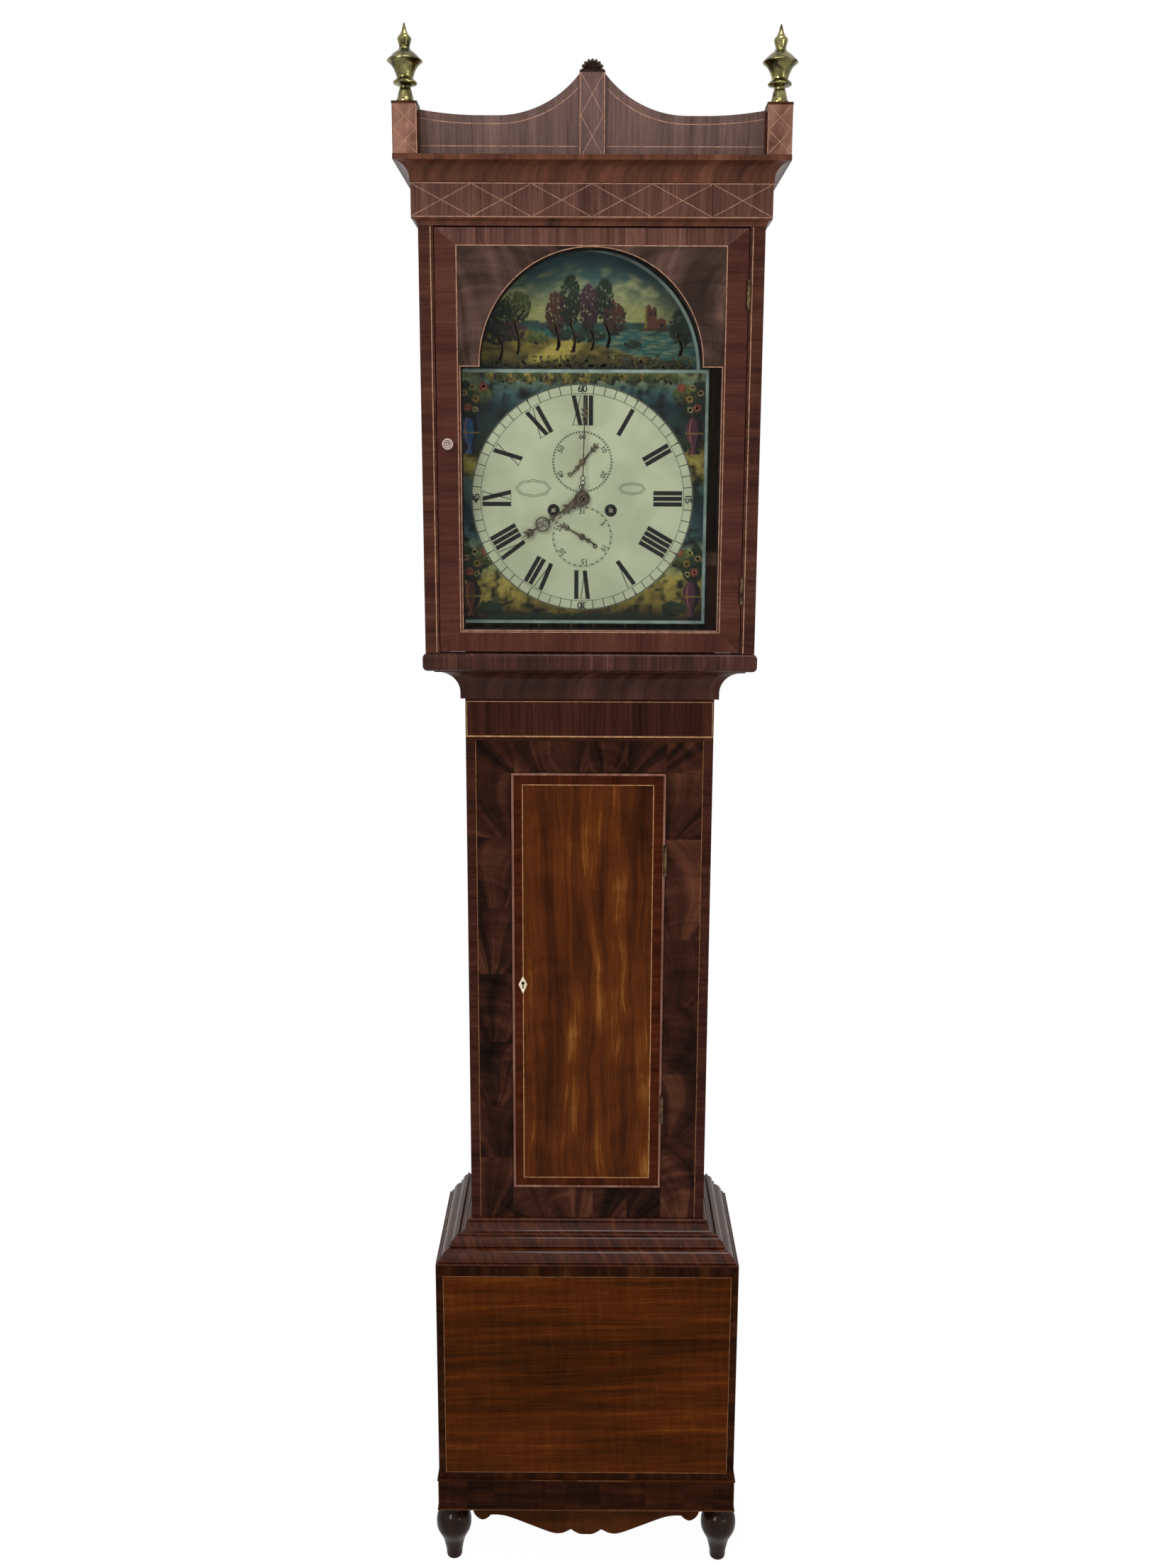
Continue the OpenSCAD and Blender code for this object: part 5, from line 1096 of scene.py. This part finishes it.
def dressDialMotifs(look):
    dice = random.Random(look["brushSeed"])
    foot = look["half"]
    dabs = []

    def inArch(x, z):
        return math.hypot(x, z - foot + look["archDrop"]) < look["archR"] - 3 and z > foot + 2

    def outside(a, b):
        return math.hypot(a, b) > look["disc"] + 1.5 and max(abs(a), abs(b)) < 172.5

    def cluster(x, z, spreadX, spreadZ, count, dark, light, keep):
        for k in range(count):
            a, r = dice.uniform(0, 2 * math.pi), math.sqrt(dice.random())
            px, pz = x + spreadX * r * math.cos(a), z + spreadZ * r * math.sin(a)
            if keep(px, pz):
                lit = 0.5 + 0.45 * math.sin(a) * r + dice.uniform(-0.3, 0.3)
                dabs.append((px, pz, 0.12 + k * 0.00005, blendPaint(dark, light, lit)))

    def blossom(x, z, size, hue, light):
        for ring in range(4):
            r = size * (1 - ring / 4.5)
            count = max(5, int(r * 2.4))
            for k in range(count):
                a = 2 * math.pi * k / count + ring
                spot = (x + r * math.cos(a), z + r * math.sin(a))
                if outside(*spot):
                    dabs.append((*spot, 0.15 + ring * 0.01,
                                 blendPaint(hue, light, ring * 0.2 + dice.uniform(0, 0.25))))

    for x, z, *rest in sceneLook["trees"]:
        cluster(x, foot + z, *rest, inArch)
    for x, low, high in sceneLook["trunks"]:
        for k in range(44):
            t = k / 43
            dabs.append((x + 3 * math.sin(t * 5) + dice.uniform(-1.2, 1.2),
                         foot + low + (high - low) * t, 0.13, blendPaint("bark", "path", t * 0.3)))
    # reeds and stones along the foot
    for k in range(320):
        x = dice.uniform(-158, 158)
        z = foot + 3 + dice.random() ** 2 * 16
        if inArch(x, z):
            dabs.append((x, z, 0.12, blendPaint(dice.choice(("dark", "leaf", "earth")),
                                                dice.choice(("field", "leafBright")),
                                                dice.uniform(0, 0.5))))
    for side, ground, glaze in urnLook["urns"]:
        x = side * urnLook["x"]
        for dx, dz, *rest in urnLook["leaves"]:
            cluster(x + side * dx, ground + dz, *rest, outside)
        for dx, dz, *rest in urnLook["flowers"]:
            blossom(x + side * dx, ground + dz, *rest)
    # leaves that hang over the dial, and low growth under it
    for k in range(30):
        t = -1 + 2 * (k + 0.5) / 30
        warm = ("earth", "path") if k % 3 == 0 else ("dark", "leafBright")
        cluster(t * 132, 169 + 3 * math.sin(k * 1.9), 8, 8, 60, *warm, outside)
        cluster(t * 132, -170 + 2 * math.sin(k * 2.3), 9, 5, 40, "dark", "leaf", outside)
    paintDabs("dial_brushwork", dabs, 2.5, 1.6, look["brushSeed"])

    # the ruin, the light on the ripples of the lake, and the urns, as plain flat shapes
    mesh = bmesh.new()
    layer = mesh.verts.layers.float_color.new("paint")

    def shape(points, color, out, right=0.0, up=foot):
        paint = paints[color] if isinstance(color, str) else color
        verts = [mesh.verts.new(onDial(right + x, up + z, out)) for x, z in points]
        for vert in verts:
            vert[layer] = (*paint, 1.0)
        mesh.faces.new(verts)

    for outline, color, out in sceneLook["ruin"]:
        shape(outline, color, out)
    for k in range(90):
        x, z, long = dice.uniform(40, 148), dice.uniform(14, 54), dice.uniform(3, 8)
        if inArch(x + long, foot + z):
            shape([(x - long, z), (x, z - 0.5), (x + long, z), (x, z + 0.5)],
                  blendPaint("lake", "cloud", dice.uniform(0.15, 0.8)), 0.06 + k * 0.0001)
    outline = urnLook["outline"]
    for side, ground, glaze in urnLook["urns"]:
        place = (side * urnLook["x"], ground)
        for color, out, k0, k1 in urnLook["bands"]:
            shape([(w * k1, h) for w, h in outline] + [(w * k0, h) for w, h in outline[::-1]],
                  color or glaze, out, *place)
        shape(urnLook["girdle"], "field", 0.08, *place)
    finishMesh("painted_ruin_and_urns", mesh, oilPaint, "case")


dressDialMotifs(dialLook)
print("dial scenes painted")


def fillRings(name, rings, out, finish):
    # a flat face between an outer ring and holes, in mm from the dial's centre
    mesh = bmesh.new()
    edges = []
    for ring in rings:
        verts = [mesh.verts.new(onDial(x, z, out)) for x, z in ring]
        edges += [mesh.edges.new((verts[i - 1], verts[i])) for i in range(len(verts))]
    bmesh.ops.triangle_fill(mesh, use_beauty=True, edges=edges)
    for face in mesh.faces:
        face.normal_update()
        if face.normal.y > 0:
            face.normal_flip()
    finishMesh(name, mesh, plains[finish], "case")


def circle(x, z, r, count):
    return [(x + r * math.cos(2 * math.pi * i / count), z + r * math.sin(2 * math.pi * i / count))
            for i in range(count)]


def markTree():
    # bars set round a circle, each along the radius
    tree, inputs = newTree("dialMarks", {
        "Count": ("Int", 60), "Radius": ("Float", 0.15), "Length": ("Float", 0.012),
        "Width": ("Float", 0.0005), "Center": ("Vector", None)})
    ring = addNode(tree, "GeometryNodeMeshCircle", {"Vertices": inputs["Count"],
                                                    "Radius": inputs["Radius"]})
    bar = addNode(tree, "GeometryNodeMeshGrid", {
        "Size X": inputs["Length"], "Size Y": inputs["Width"], "Vertices X": 2, "Vertices Y": 2})
    index = addNode(tree, "GeometryNodeInputIndex")
    turn = addNode(tree, "ShaderNodeMath", {0: index, 1: inputs["Count"]}, operation="DIVIDE")
    turn = addNode(tree, "ShaderNodeMath", {0: turn, 1: math.tau}, operation="MULTIPLY")
    turn = addNode(tree, "ShaderNodeCombineXYZ", {2: turn})
    placed = addNode(tree, "GeometryNodeInstanceOnPoints", {"Points": ring, "Instance": bar,
                                                            "Rotation": turn})
    return endTree(tree, inputs, addNode(tree, "GeometryNodeTransform", {
        "Geometry": placed, "Translation": inputs["Center"],
        "Rotation": (math.pi / 2, 0.0, 0.0)}))


dialMarks = markTree()


def markRing(name, count, r0, r1, width, z=0.0):
    growPiece(name, dialMarks, {
        "Count": count, "Radius": (r0 + r1) / 2 * mm, "Length": (r1 - r0) * mm,
        "Width": width * mm, "Material": plains["dialBlack"], "Center": onDial(0, z, 0.16)},
        "case")


# widths of the letters and heights of their strokes in mm; squeeze keeps a numeral in its
# twelfth, and thin is the hair stroke
letterLook = {"I": 7.8, "V": 16.2, "X": 16.2, "widest": 38.5, "thick": 6.1, "thin": 1.1,
              "serif": 0.6}


def addStroke(mesh, angle, r0, x0, r1, x1, width):
    # a bar from r0 to r1 across the chapter ring, x from the numeral's middle
    c, s = math.cos(math.radians(angle)), math.sin(math.radians(angle))
    half = width / 2
    corners = [(x0 - half, r0), (x0 + half, r0), (x1 + half, r1), (x1 - half, r1)]
    mesh.faces.new([mesh.verts.new(onDial(x * c + r * s, r * c - x * s, 0.18))
                    for x, r in corners])


def dressDialNumerals(look, letters):
    # each numeral's feet point to the centre
    r0, r1 = look["numerals"]
    numerals = ("I", "II", "III", "IIII", "V", "VI", "VII", "VIII", "IX", "X", "XI", "XII")
    half = letters["serif"] / 2
    mesh = bmesh.new()
    for hour, numeral in enumerate(numerals, 1):
        angle = 30 * hour
        wide = sum(letters[c] for c in numeral)
        squeeze = min(1.0, letters["widest"] / wide)
        thick, thin = letters["thick"] * squeeze ** 0.5, letters["thin"]
        x = -wide * squeeze / 2
        for letter in numeral:
            w = letters[letter] * squeeze
            mid = x + w / 2
            strokes, serifs = {"I": (((0, 0, thick),), (r0, r1)),
                               "V": (((0, -0.3, thick), (0, 0.34, thin)), (r1,)),
                               "X": (((0.3, -0.3, thick), (-0.34, 0.34, thin)), (r0, r1))}[letter]
            for foot, head, width in strokes:
                addStroke(mesh, angle, r0, mid + w * foot, r1, mid + w * head, width)
            for r in serifs:
                addStroke(mesh, angle, r - half, mid, r + half, mid, w * 0.96)
            x += w
    finishMesh("hour_numerals", mesh, plains["dialBlack"], "case")


def addDigits(mesh, text, size, x, z, turn):
    # plain figures; turn is clockwise in degrees
    curve = bpy.data.curves.new("figures", "FONT")
    curve.body, curve.size, curve.align_x, curve.align_y = text, size * mm, "CENTER", "CENTER"
    curve.offset = size * 0.018 * mm
    piece = putInScene("figures", curve)
    bpy.context.view_layer.update()
    flat = bpy.data.meshes.new_from_object(
        piece.evaluated_get(bpy.context.evaluated_depsgraph_get()))
    flat.transform(Matrix.Translation(onDial(x, z, 0.17))
                   @ Matrix.Rotation(math.radians(turn), 4, "Y")
                   @ Matrix.Rotation(math.pi / 2, 4, "X"))
    mesh.from_mesh(flat)
    bpy.data.objects.remove(piece)
    bpy.data.meshes.remove(flat)
    bpy.data.curves.remove(curve)


# rings of figures: texts, size, radius, degrees from one to the next; ovals: name, x, half
# of the width and of the height
figureLook = {"minute": (("60", "15", "30", "45"), 13.5, 151.3, 90),
              "seconds": (("60", "10", "20", "30", "40", "50"), 10.0, 34.8, 60),
              "calendar": (("31", "5", "10", "15", "20", "25"), 10.0, 35.0, 58.06),
              "labels": (("left_label", -70, 24.5, 12), ("right_label", 71, 18.5, 8.6))}


def addFigures(mesh, middleZ, texts, size, r, turn):
    for k, text in enumerate(texts):
        a = math.radians(turn * k)
        addDigits(mesh, text, size, r * math.sin(a), middleZ + r * math.cos(a), turn * k)


def dressDialRings(look):
    wx, wz, wr = look["winding"]
    secondsZ, secondsR = look["seconds"]
    calendarZ, calendarR = look["calendar"]
    trackLow, trackHigh = look["track"]
    holes = [circle(s * wx, wz, wr + 0.1, 32) for s in (-1, 1)]
    holes += [circle(0, 0, 6.1, 32), circle(0, secondsZ, 2.6, 24), circle(0, calendarZ, 1.7, 20)]
    fillRings("dial_ground", [circle(0, 0, look["disc"], 128)] + holes, 0.14, "dialGround")
    # thin painted rings: name, radius, width, height of the middle
    for name, r, width, z in (("track_outer", trackHigh, 0.9, 0), ("track_inner", trackLow, 0.8, 0),
                              ("disc_edge", look["disc"] - 0.5, 0.8, 0),
                              ("seconds_outer", secondsR, 0.5, secondsZ),
                              ("seconds_inner", secondsR - 2.2, 0.3, secondsZ),
                              ("calendar_outer", calendarR, 0.5, calendarZ),
                              ("calendar_inner", calendarR - 2.2, 0.3, calendarZ)):
        fillRings(name + "_ring", [circle(0, z, r + width / 2, 96),
                                   circle(0, z, r - width / 2, 96)], 0.17, "dialLine")
    for name, x in (("winding_ring_right", wx), ("winding_ring_left", -wx)):
        fillRings(name, [circle(x, wz, r, 40) for r in (8.8, 6.6)], 0.17, "dialBlack")
    markRing("minute_marks", 60, trackLow, trackHigh, 1.1)
    markRing("five_minute_marks", 12, trackHigh - 3.5, trackHigh + 1.3, 2.0)
    markRing("seconds_marks", 60, secondsR - 2.2, secondsR, 1.5, secondsZ)
    markRing("calendar_marks", 31, calendarR - 2.2, calendarR, 1.8, calendarZ)


def dressDialFigures(look, figures):
    mesh = bmesh.new()
    addFigures(mesh, 0, *figures["minute"])
    finishMesh("minute_figures", mesh, plains["dialBlack"], "case")
    mesh = bmesh.new()
    addFigures(mesh, look["seconds"][0], *figures["seconds"])
    addFigures(mesh, look["calendar"][0], *figures["calendar"])
    finishMesh("small_dial_figures", mesh, plains["dialLine"], "case")
    # scalloped ovals in double lines, one on each side of the hands
    turns = [2 * math.pi * i / 96 for i in range(96)]
    for name, x, wide, tall in figures["labels"]:
        for part, inset in (("outer", 0.0), ("inner", 2.4)):
            fillRings(f"{name}_{part}", [
                [(x + (wide - inset - gap) * (1 + 0.045 * math.cos(8 * t)) * math.cos(t),
                  14 + (tall - inset - gap) * (1 + 0.045 * math.cos(8 * t)) * math.sin(t))
                 for t in turns] for gap in (0, 0.75)], 0.17, "dialLine")
    # pale border round the square and the arch
    edge, r, border = look["half"], look["archR"], look["border"]
    fillRings("dial_border_square", [box(-k, -k, k, k) for k in (edge - 0.2, edge - border)],
              0.24, "dialBorder")
    dips = [math.degrees(math.asin(look["archDrop"] / k)) for k in (r - 0.2, r - border)]
    middle = edge - look["archDrop"]
    fillRings("dial_border_arch", [arcPoints(0, middle, r - 0.2, dips[0], 180 - dips[0], 64)
                                   + arcPoints(0, middle, r - border, 180 - dips[1], dips[1], 64)],
              0.24, "dialBorder")


dressDialRings(dialLook)
dressDialNumerals(dialLook, letterLook)
dressDialFigures(dialLook, figureLook)
print("dial numbered")

# squares on the winding arbors, and dark steel discs round them that nearly fill the winding
# holes as painted shade: sizes in mm, depths behind the dial's face
arborLook = {"shadeDiscR": 6.3, "shadeDiscLong": 4, "shadeDiscDeep": 5.9, "square": (5.8, 6.6, 5.8),
             "squareDeep": 1.7, "chamfer": 0.35}


def addTaper(name, body, metal, radii, length, place, turn, sides=24):
    # a round piece from one radius to another, turned by an angle about an axis
    mesh = bmesh.new()
    bmesh.ops.create_cone(mesh, cap_ends=True, segments=sides, radius1=radii[0] * mm,
                          radius2=radii[1] * mm, depth=length * mm)
    mesh.transform(Matrix.Translation(place) @ Matrix.Rotation(turn[0], 4, turn[1]))
    finishMesh(name, mesh, metals[metal], body)


def dressArbors(look, winding):
    wx, wz = winding[:2]
    for x, body in ((wx, "going_barrel"), (-wx, "strike_barrel")):
        # a dark disc that nearly fills the winding hole, as painted shade deep inside it
        addTaper(body + "_arbor_shade_disc", body, "darkSteel", (look["shadeDiscR"],) * 2, look["shadeDiscLong"],
                 onDial(x, wz, -look["shadeDiscDeep"]), (math.pi / 2, "X"), 32)
        mesh = bmesh.new()
        bmesh.ops.create_cube(mesh, size=1.0)
        mesh.transform(Matrix.Translation(onDial(x, wz, -look["squareDeep"]))
                       @ Matrix.Diagonal((*[side * mm for side in look["square"]], 1)))
        bmesh.ops.bevel(mesh, geom=list(mesh.edges), offset=look["chamfer"] * mm, segments=2,
                        affect="EDGES")
        finishMesh(body + "_square", mesh, metals["brightSteel"], body)


dressArbors(arborLook, dialLook["winding"])

# screws of the lock: their sizes, and the box whose corners they stand on, in mm
screwLook = {"radius": 2.3, "rise": 1.0, "slot": 0.7, "lock": (-110.5, 968.5, -71, 1001.5),
             "lockY": -21.8}


def screwTree():
    # a slotted head on each point of the source mesh, facing the back
    tree, inputs = newTree("slottedScrews", {
        "Radius": ("Float", 0.002), "Rise": ("Float", 0.0005), "Slot": ("Float", 0.0007),
        "Seed": ("Int", 3)})
    head = addNode(tree, "GeometryNodeMeshCylinder", {
        "Radius": inputs["Radius"], "Depth": inputs["Rise"], "Vertices": 20})
    deep, lift = (addNode(tree, "ShaderNodeMath", {0: inputs["Rise"], 1: share},
                          operation="MULTIPLY") for share in (1.2, 0.6))
    size = addNode(tree, "ShaderNodeCombineXYZ", {0: 0.02, 1: inputs["Slot"], 2: deep})
    bar = addNode(tree, "GeometryNodeMeshCube", {"Size": size})
    raised = addNode(tree, "GeometryNodeTransform", {
        "Geometry": bar, "Translation": addNode(tree, "ShaderNodeCombineXYZ", {2: lift})})
    slotted = addNode(tree, "GeometryNodeMeshBoolean", {0: head, 1: raised},
                      operation="DIFFERENCE")
    turn = addNode(tree, "FunctionNodeRandomValue", {
        "Seed": inputs["Seed"], 0: (-math.pi / 2, 0, 0), 1: (-math.pi / 2, math.pi, 0)},
        data_type="FLOAT_VECTOR")
    return endTree(tree, inputs, addNode(tree, "GeometryNodeInstanceOnPoints", {
        "Points": inputs[0], "Instance": slotted, "Rotation": turn}))


def dressLock(look):
    # four screws hold the lock to the inside of the waist door
    x0, z0, x1, z1 = look["lock"]
    data = bpy.data.meshes.new("lockScrewPoints")
    data.from_pydata([Vector((x, look["lockY"], z)) * mm for x in (x0, x1) for z in (z0, z1)],
                     [], [])
    growPiece("waist_lock_screws", screwTree(), {
        "Radius": look["radius"] * mm, "Rise": look["rise"] * mm, "Slot": look["slot"] * mm,
        "Material": metals["darkSteel"]}, "waist_door", data)


dressLock(screwLook)

# gut: mm to a full twist and to a row of points, points and strands round it, and the
# depth of the grooves as a share of the radius
lineLook = {"lay": 9.0, "row": 1.5, "sides": 12, "strands": 3, "groove": 0.14}


def addGut(mesh, look, x, y, low, length, r):
    # one upright run of twisted gut
    rows, sides = [], look["sides"]
    count = round(length / (look["row"] * mm))
    for k in range(count + 1):
        turn = 2 * math.pi * k * look["row"] / look["lay"]
        angles = [2 * math.pi * i / sides for i in range(sides)]
        rows.append([])
        for a in angles:
            lobe = abs(math.cos(look["strands"] / 2 * a - turn))
            out = r * (1 - look["groove"] + look["groove"] * lobe)
            rows[-1].append(mesh.verts.new((x + out * math.cos(a), y + out * math.sin(a),
                                            low + length * k / count)))
    for row, following in pairwise(rows):
        for i in range(sides):
            j = (i + 1) % sides
            mesh.faces.new((row[i], row[j], following[j], following[i])).smooth = True
    mesh.faces.new(rows[0][::-1])
    mesh.faces.new(rows[-1])


def dressLines(look):
    # twisted gut in place of each line, built once at the frame line's present length
    for side in ("going", "strike"):
        low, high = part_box(side + "_line")
        r, length = (high[1] - low[1]) / 2, high[2] - low[2]
        mesh = bmesh.new()
        for x in (low[0] + r, high[0] - r):
            addGut(mesh, look, x, (low[1] + high[1]) / 2, low[2], length, r)
        piece = finishMesh(side + "_gut_line", mesh, plains["gutLine"], "case")
        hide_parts(side + "_line")
        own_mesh(piece)


dressLines(lineLook)

# bevelled washer and taper pin that hold the minute hand: body, metal, radii and length in
# mm, height over the dial's face and turn
pinLook = {"hand_washer": ("minute_pipe", "darkSteel", (4.4, 3.4), 0.5, 9.75, (math.pi / 2, "X")),
           "hand_pin": ("centre_arbor", "brightSteel", (0.55, 0.4), 8.0, 10.4, (0.6, "Y"))}
for name, (body, metal, radii, length, out, turn) in pinLook.items():
    addTaper(name, body, metal, radii, length, onDial(0, 0, out), turn)
print("arbors, screws, lines and pin in place")

# camera: place in mm, angles in degrees, focal length in mm
viewLook = {"spot": (2.2, -2152.2, 1721.3), "pitch": 11.35, "yaw": -0.115, "roll": 0.243,
            "lens": 33.0}
# lamps: place in m, power in W, size in m; all point at the middle of the clock
lightLook = {"key": (-1.6, -2.6, 3.4, 58.0, 0.9), "fill": (2.2, -2.6, 1.6, 26.0, 1.1),
             "top": (0.2, -0.8, 4.2, 22.0, 1.0), "middle": (0, 0, 1.2), "sky": 0.62}
# floor: half its width in m, its grey, and the white that the camera sees
floorLook = {"half": 9, "matte": 0.94, "bright": 1.02, "share": 0.95}


def setCamera(look):
    pitch, yaw, roll = (math.radians(look[key]) for key in ("pitch", "yaw", "roll"))
    ahead = Vector((math.sin(yaw) * math.cos(pitch), math.cos(yaw) * math.cos(pitch),
                    -math.sin(pitch)))
    right = ahead.cross(Vector((0, 0, 1))).normalized()
    up = right.cross(ahead)
    side = right * math.cos(roll) + up * math.sin(roll)
    top = up * math.cos(roll) - right * math.sin(roll)
    data = bpy.data.cameras.new("camera")
    data.lens, data.sensor_width, data.clip_end = look["lens"], 36, 50
    camera = putInScene("camera", data)
    turn = Matrix((side, top, -ahead)).transposed().to_4x4()
    camera.matrix_world = Matrix.Translation(Vector(look["spot"]) * mm) @ turn
    bpy.context.scene.camera = camera


def cameraSees(tree):
    # 1 where the camera sees the surface, straight, through glass or in a reflection
    path = addNode(tree, "ShaderNodeLightPath").outputs
    seen = path["Is Camera Ray"]
    for ray in ("Is Transmission Ray", "Is Glossy Ray"):
        seen = addNode(tree, "ShaderNodeMath", {0: seen, 1: path[ray]}, operation="MAXIMUM")
    return seen


def setLight(look):
    for name in ("key", "fill", "top"):
        x, y, z, power, size = look[name]
        data = bpy.data.lights.new(name, "AREA")
        data.energy, data.size = power, size
        lamp = putInScene(name, data)
        lamp.location = (x, y, z)
        aim = Vector(look["middle"]) - lamp.location
        lamp.rotation_euler = aim.to_track_quat("-Z", "Y").to_euler()
    world = bpy.data.worlds.new("studio")
    bpy.context.scene.world = world
    tree = emptyTree(world)
    sky, white = (addNode(tree, "ShaderNodeBackground", {0: (1, 1, 1, 1), 1: strength})
                  for strength in (look["sky"], 1.0))
    mix = addNode(tree, "ShaderNodeMixShader", {0: cameraSees(tree), 1: sky, 2: white})
    addNode(tree, "ShaderNodeOutputWorld", {0: mix})


def addFloor(look):
    # matte under the object's shadow, and white to the camera
    material, tree = newMaterial("paleFloor")
    matte = addNode(tree, "ShaderNodeBsdfDiffuse", {0: (*[look["matte"]] * 3, 1)})
    bright = addNode(tree, "ShaderNodeEmission", {0: (1, 1, 1, 1), 1: look["bright"]})
    share = addNode(tree, "ShaderNodeMath", {0: cameraSees(tree), 1: look["share"]},
                    operation="MULTIPLY")
    mix = addNode(tree, "ShaderNodeMixShader", {0: share, 1: matte, 2: bright})
    addNode(tree, "ShaderNodeOutputMaterial", {0: mix})
    half = look["half"]
    data = bpy.data.meshes.new("floor")
    data.from_pydata([(a, b, 0) for a, b in box(-half, -half, half, half)], [], [(0, 1, 2, 3)])
    data.materials.append(material)
    putInScene("floor", data)


setCamera(viewLook)
setLight(lightLook)
addFloor(floorLook)
bpy.context.scene.view_settings.view_transform = "Standard"
print("camera, light and floor set")
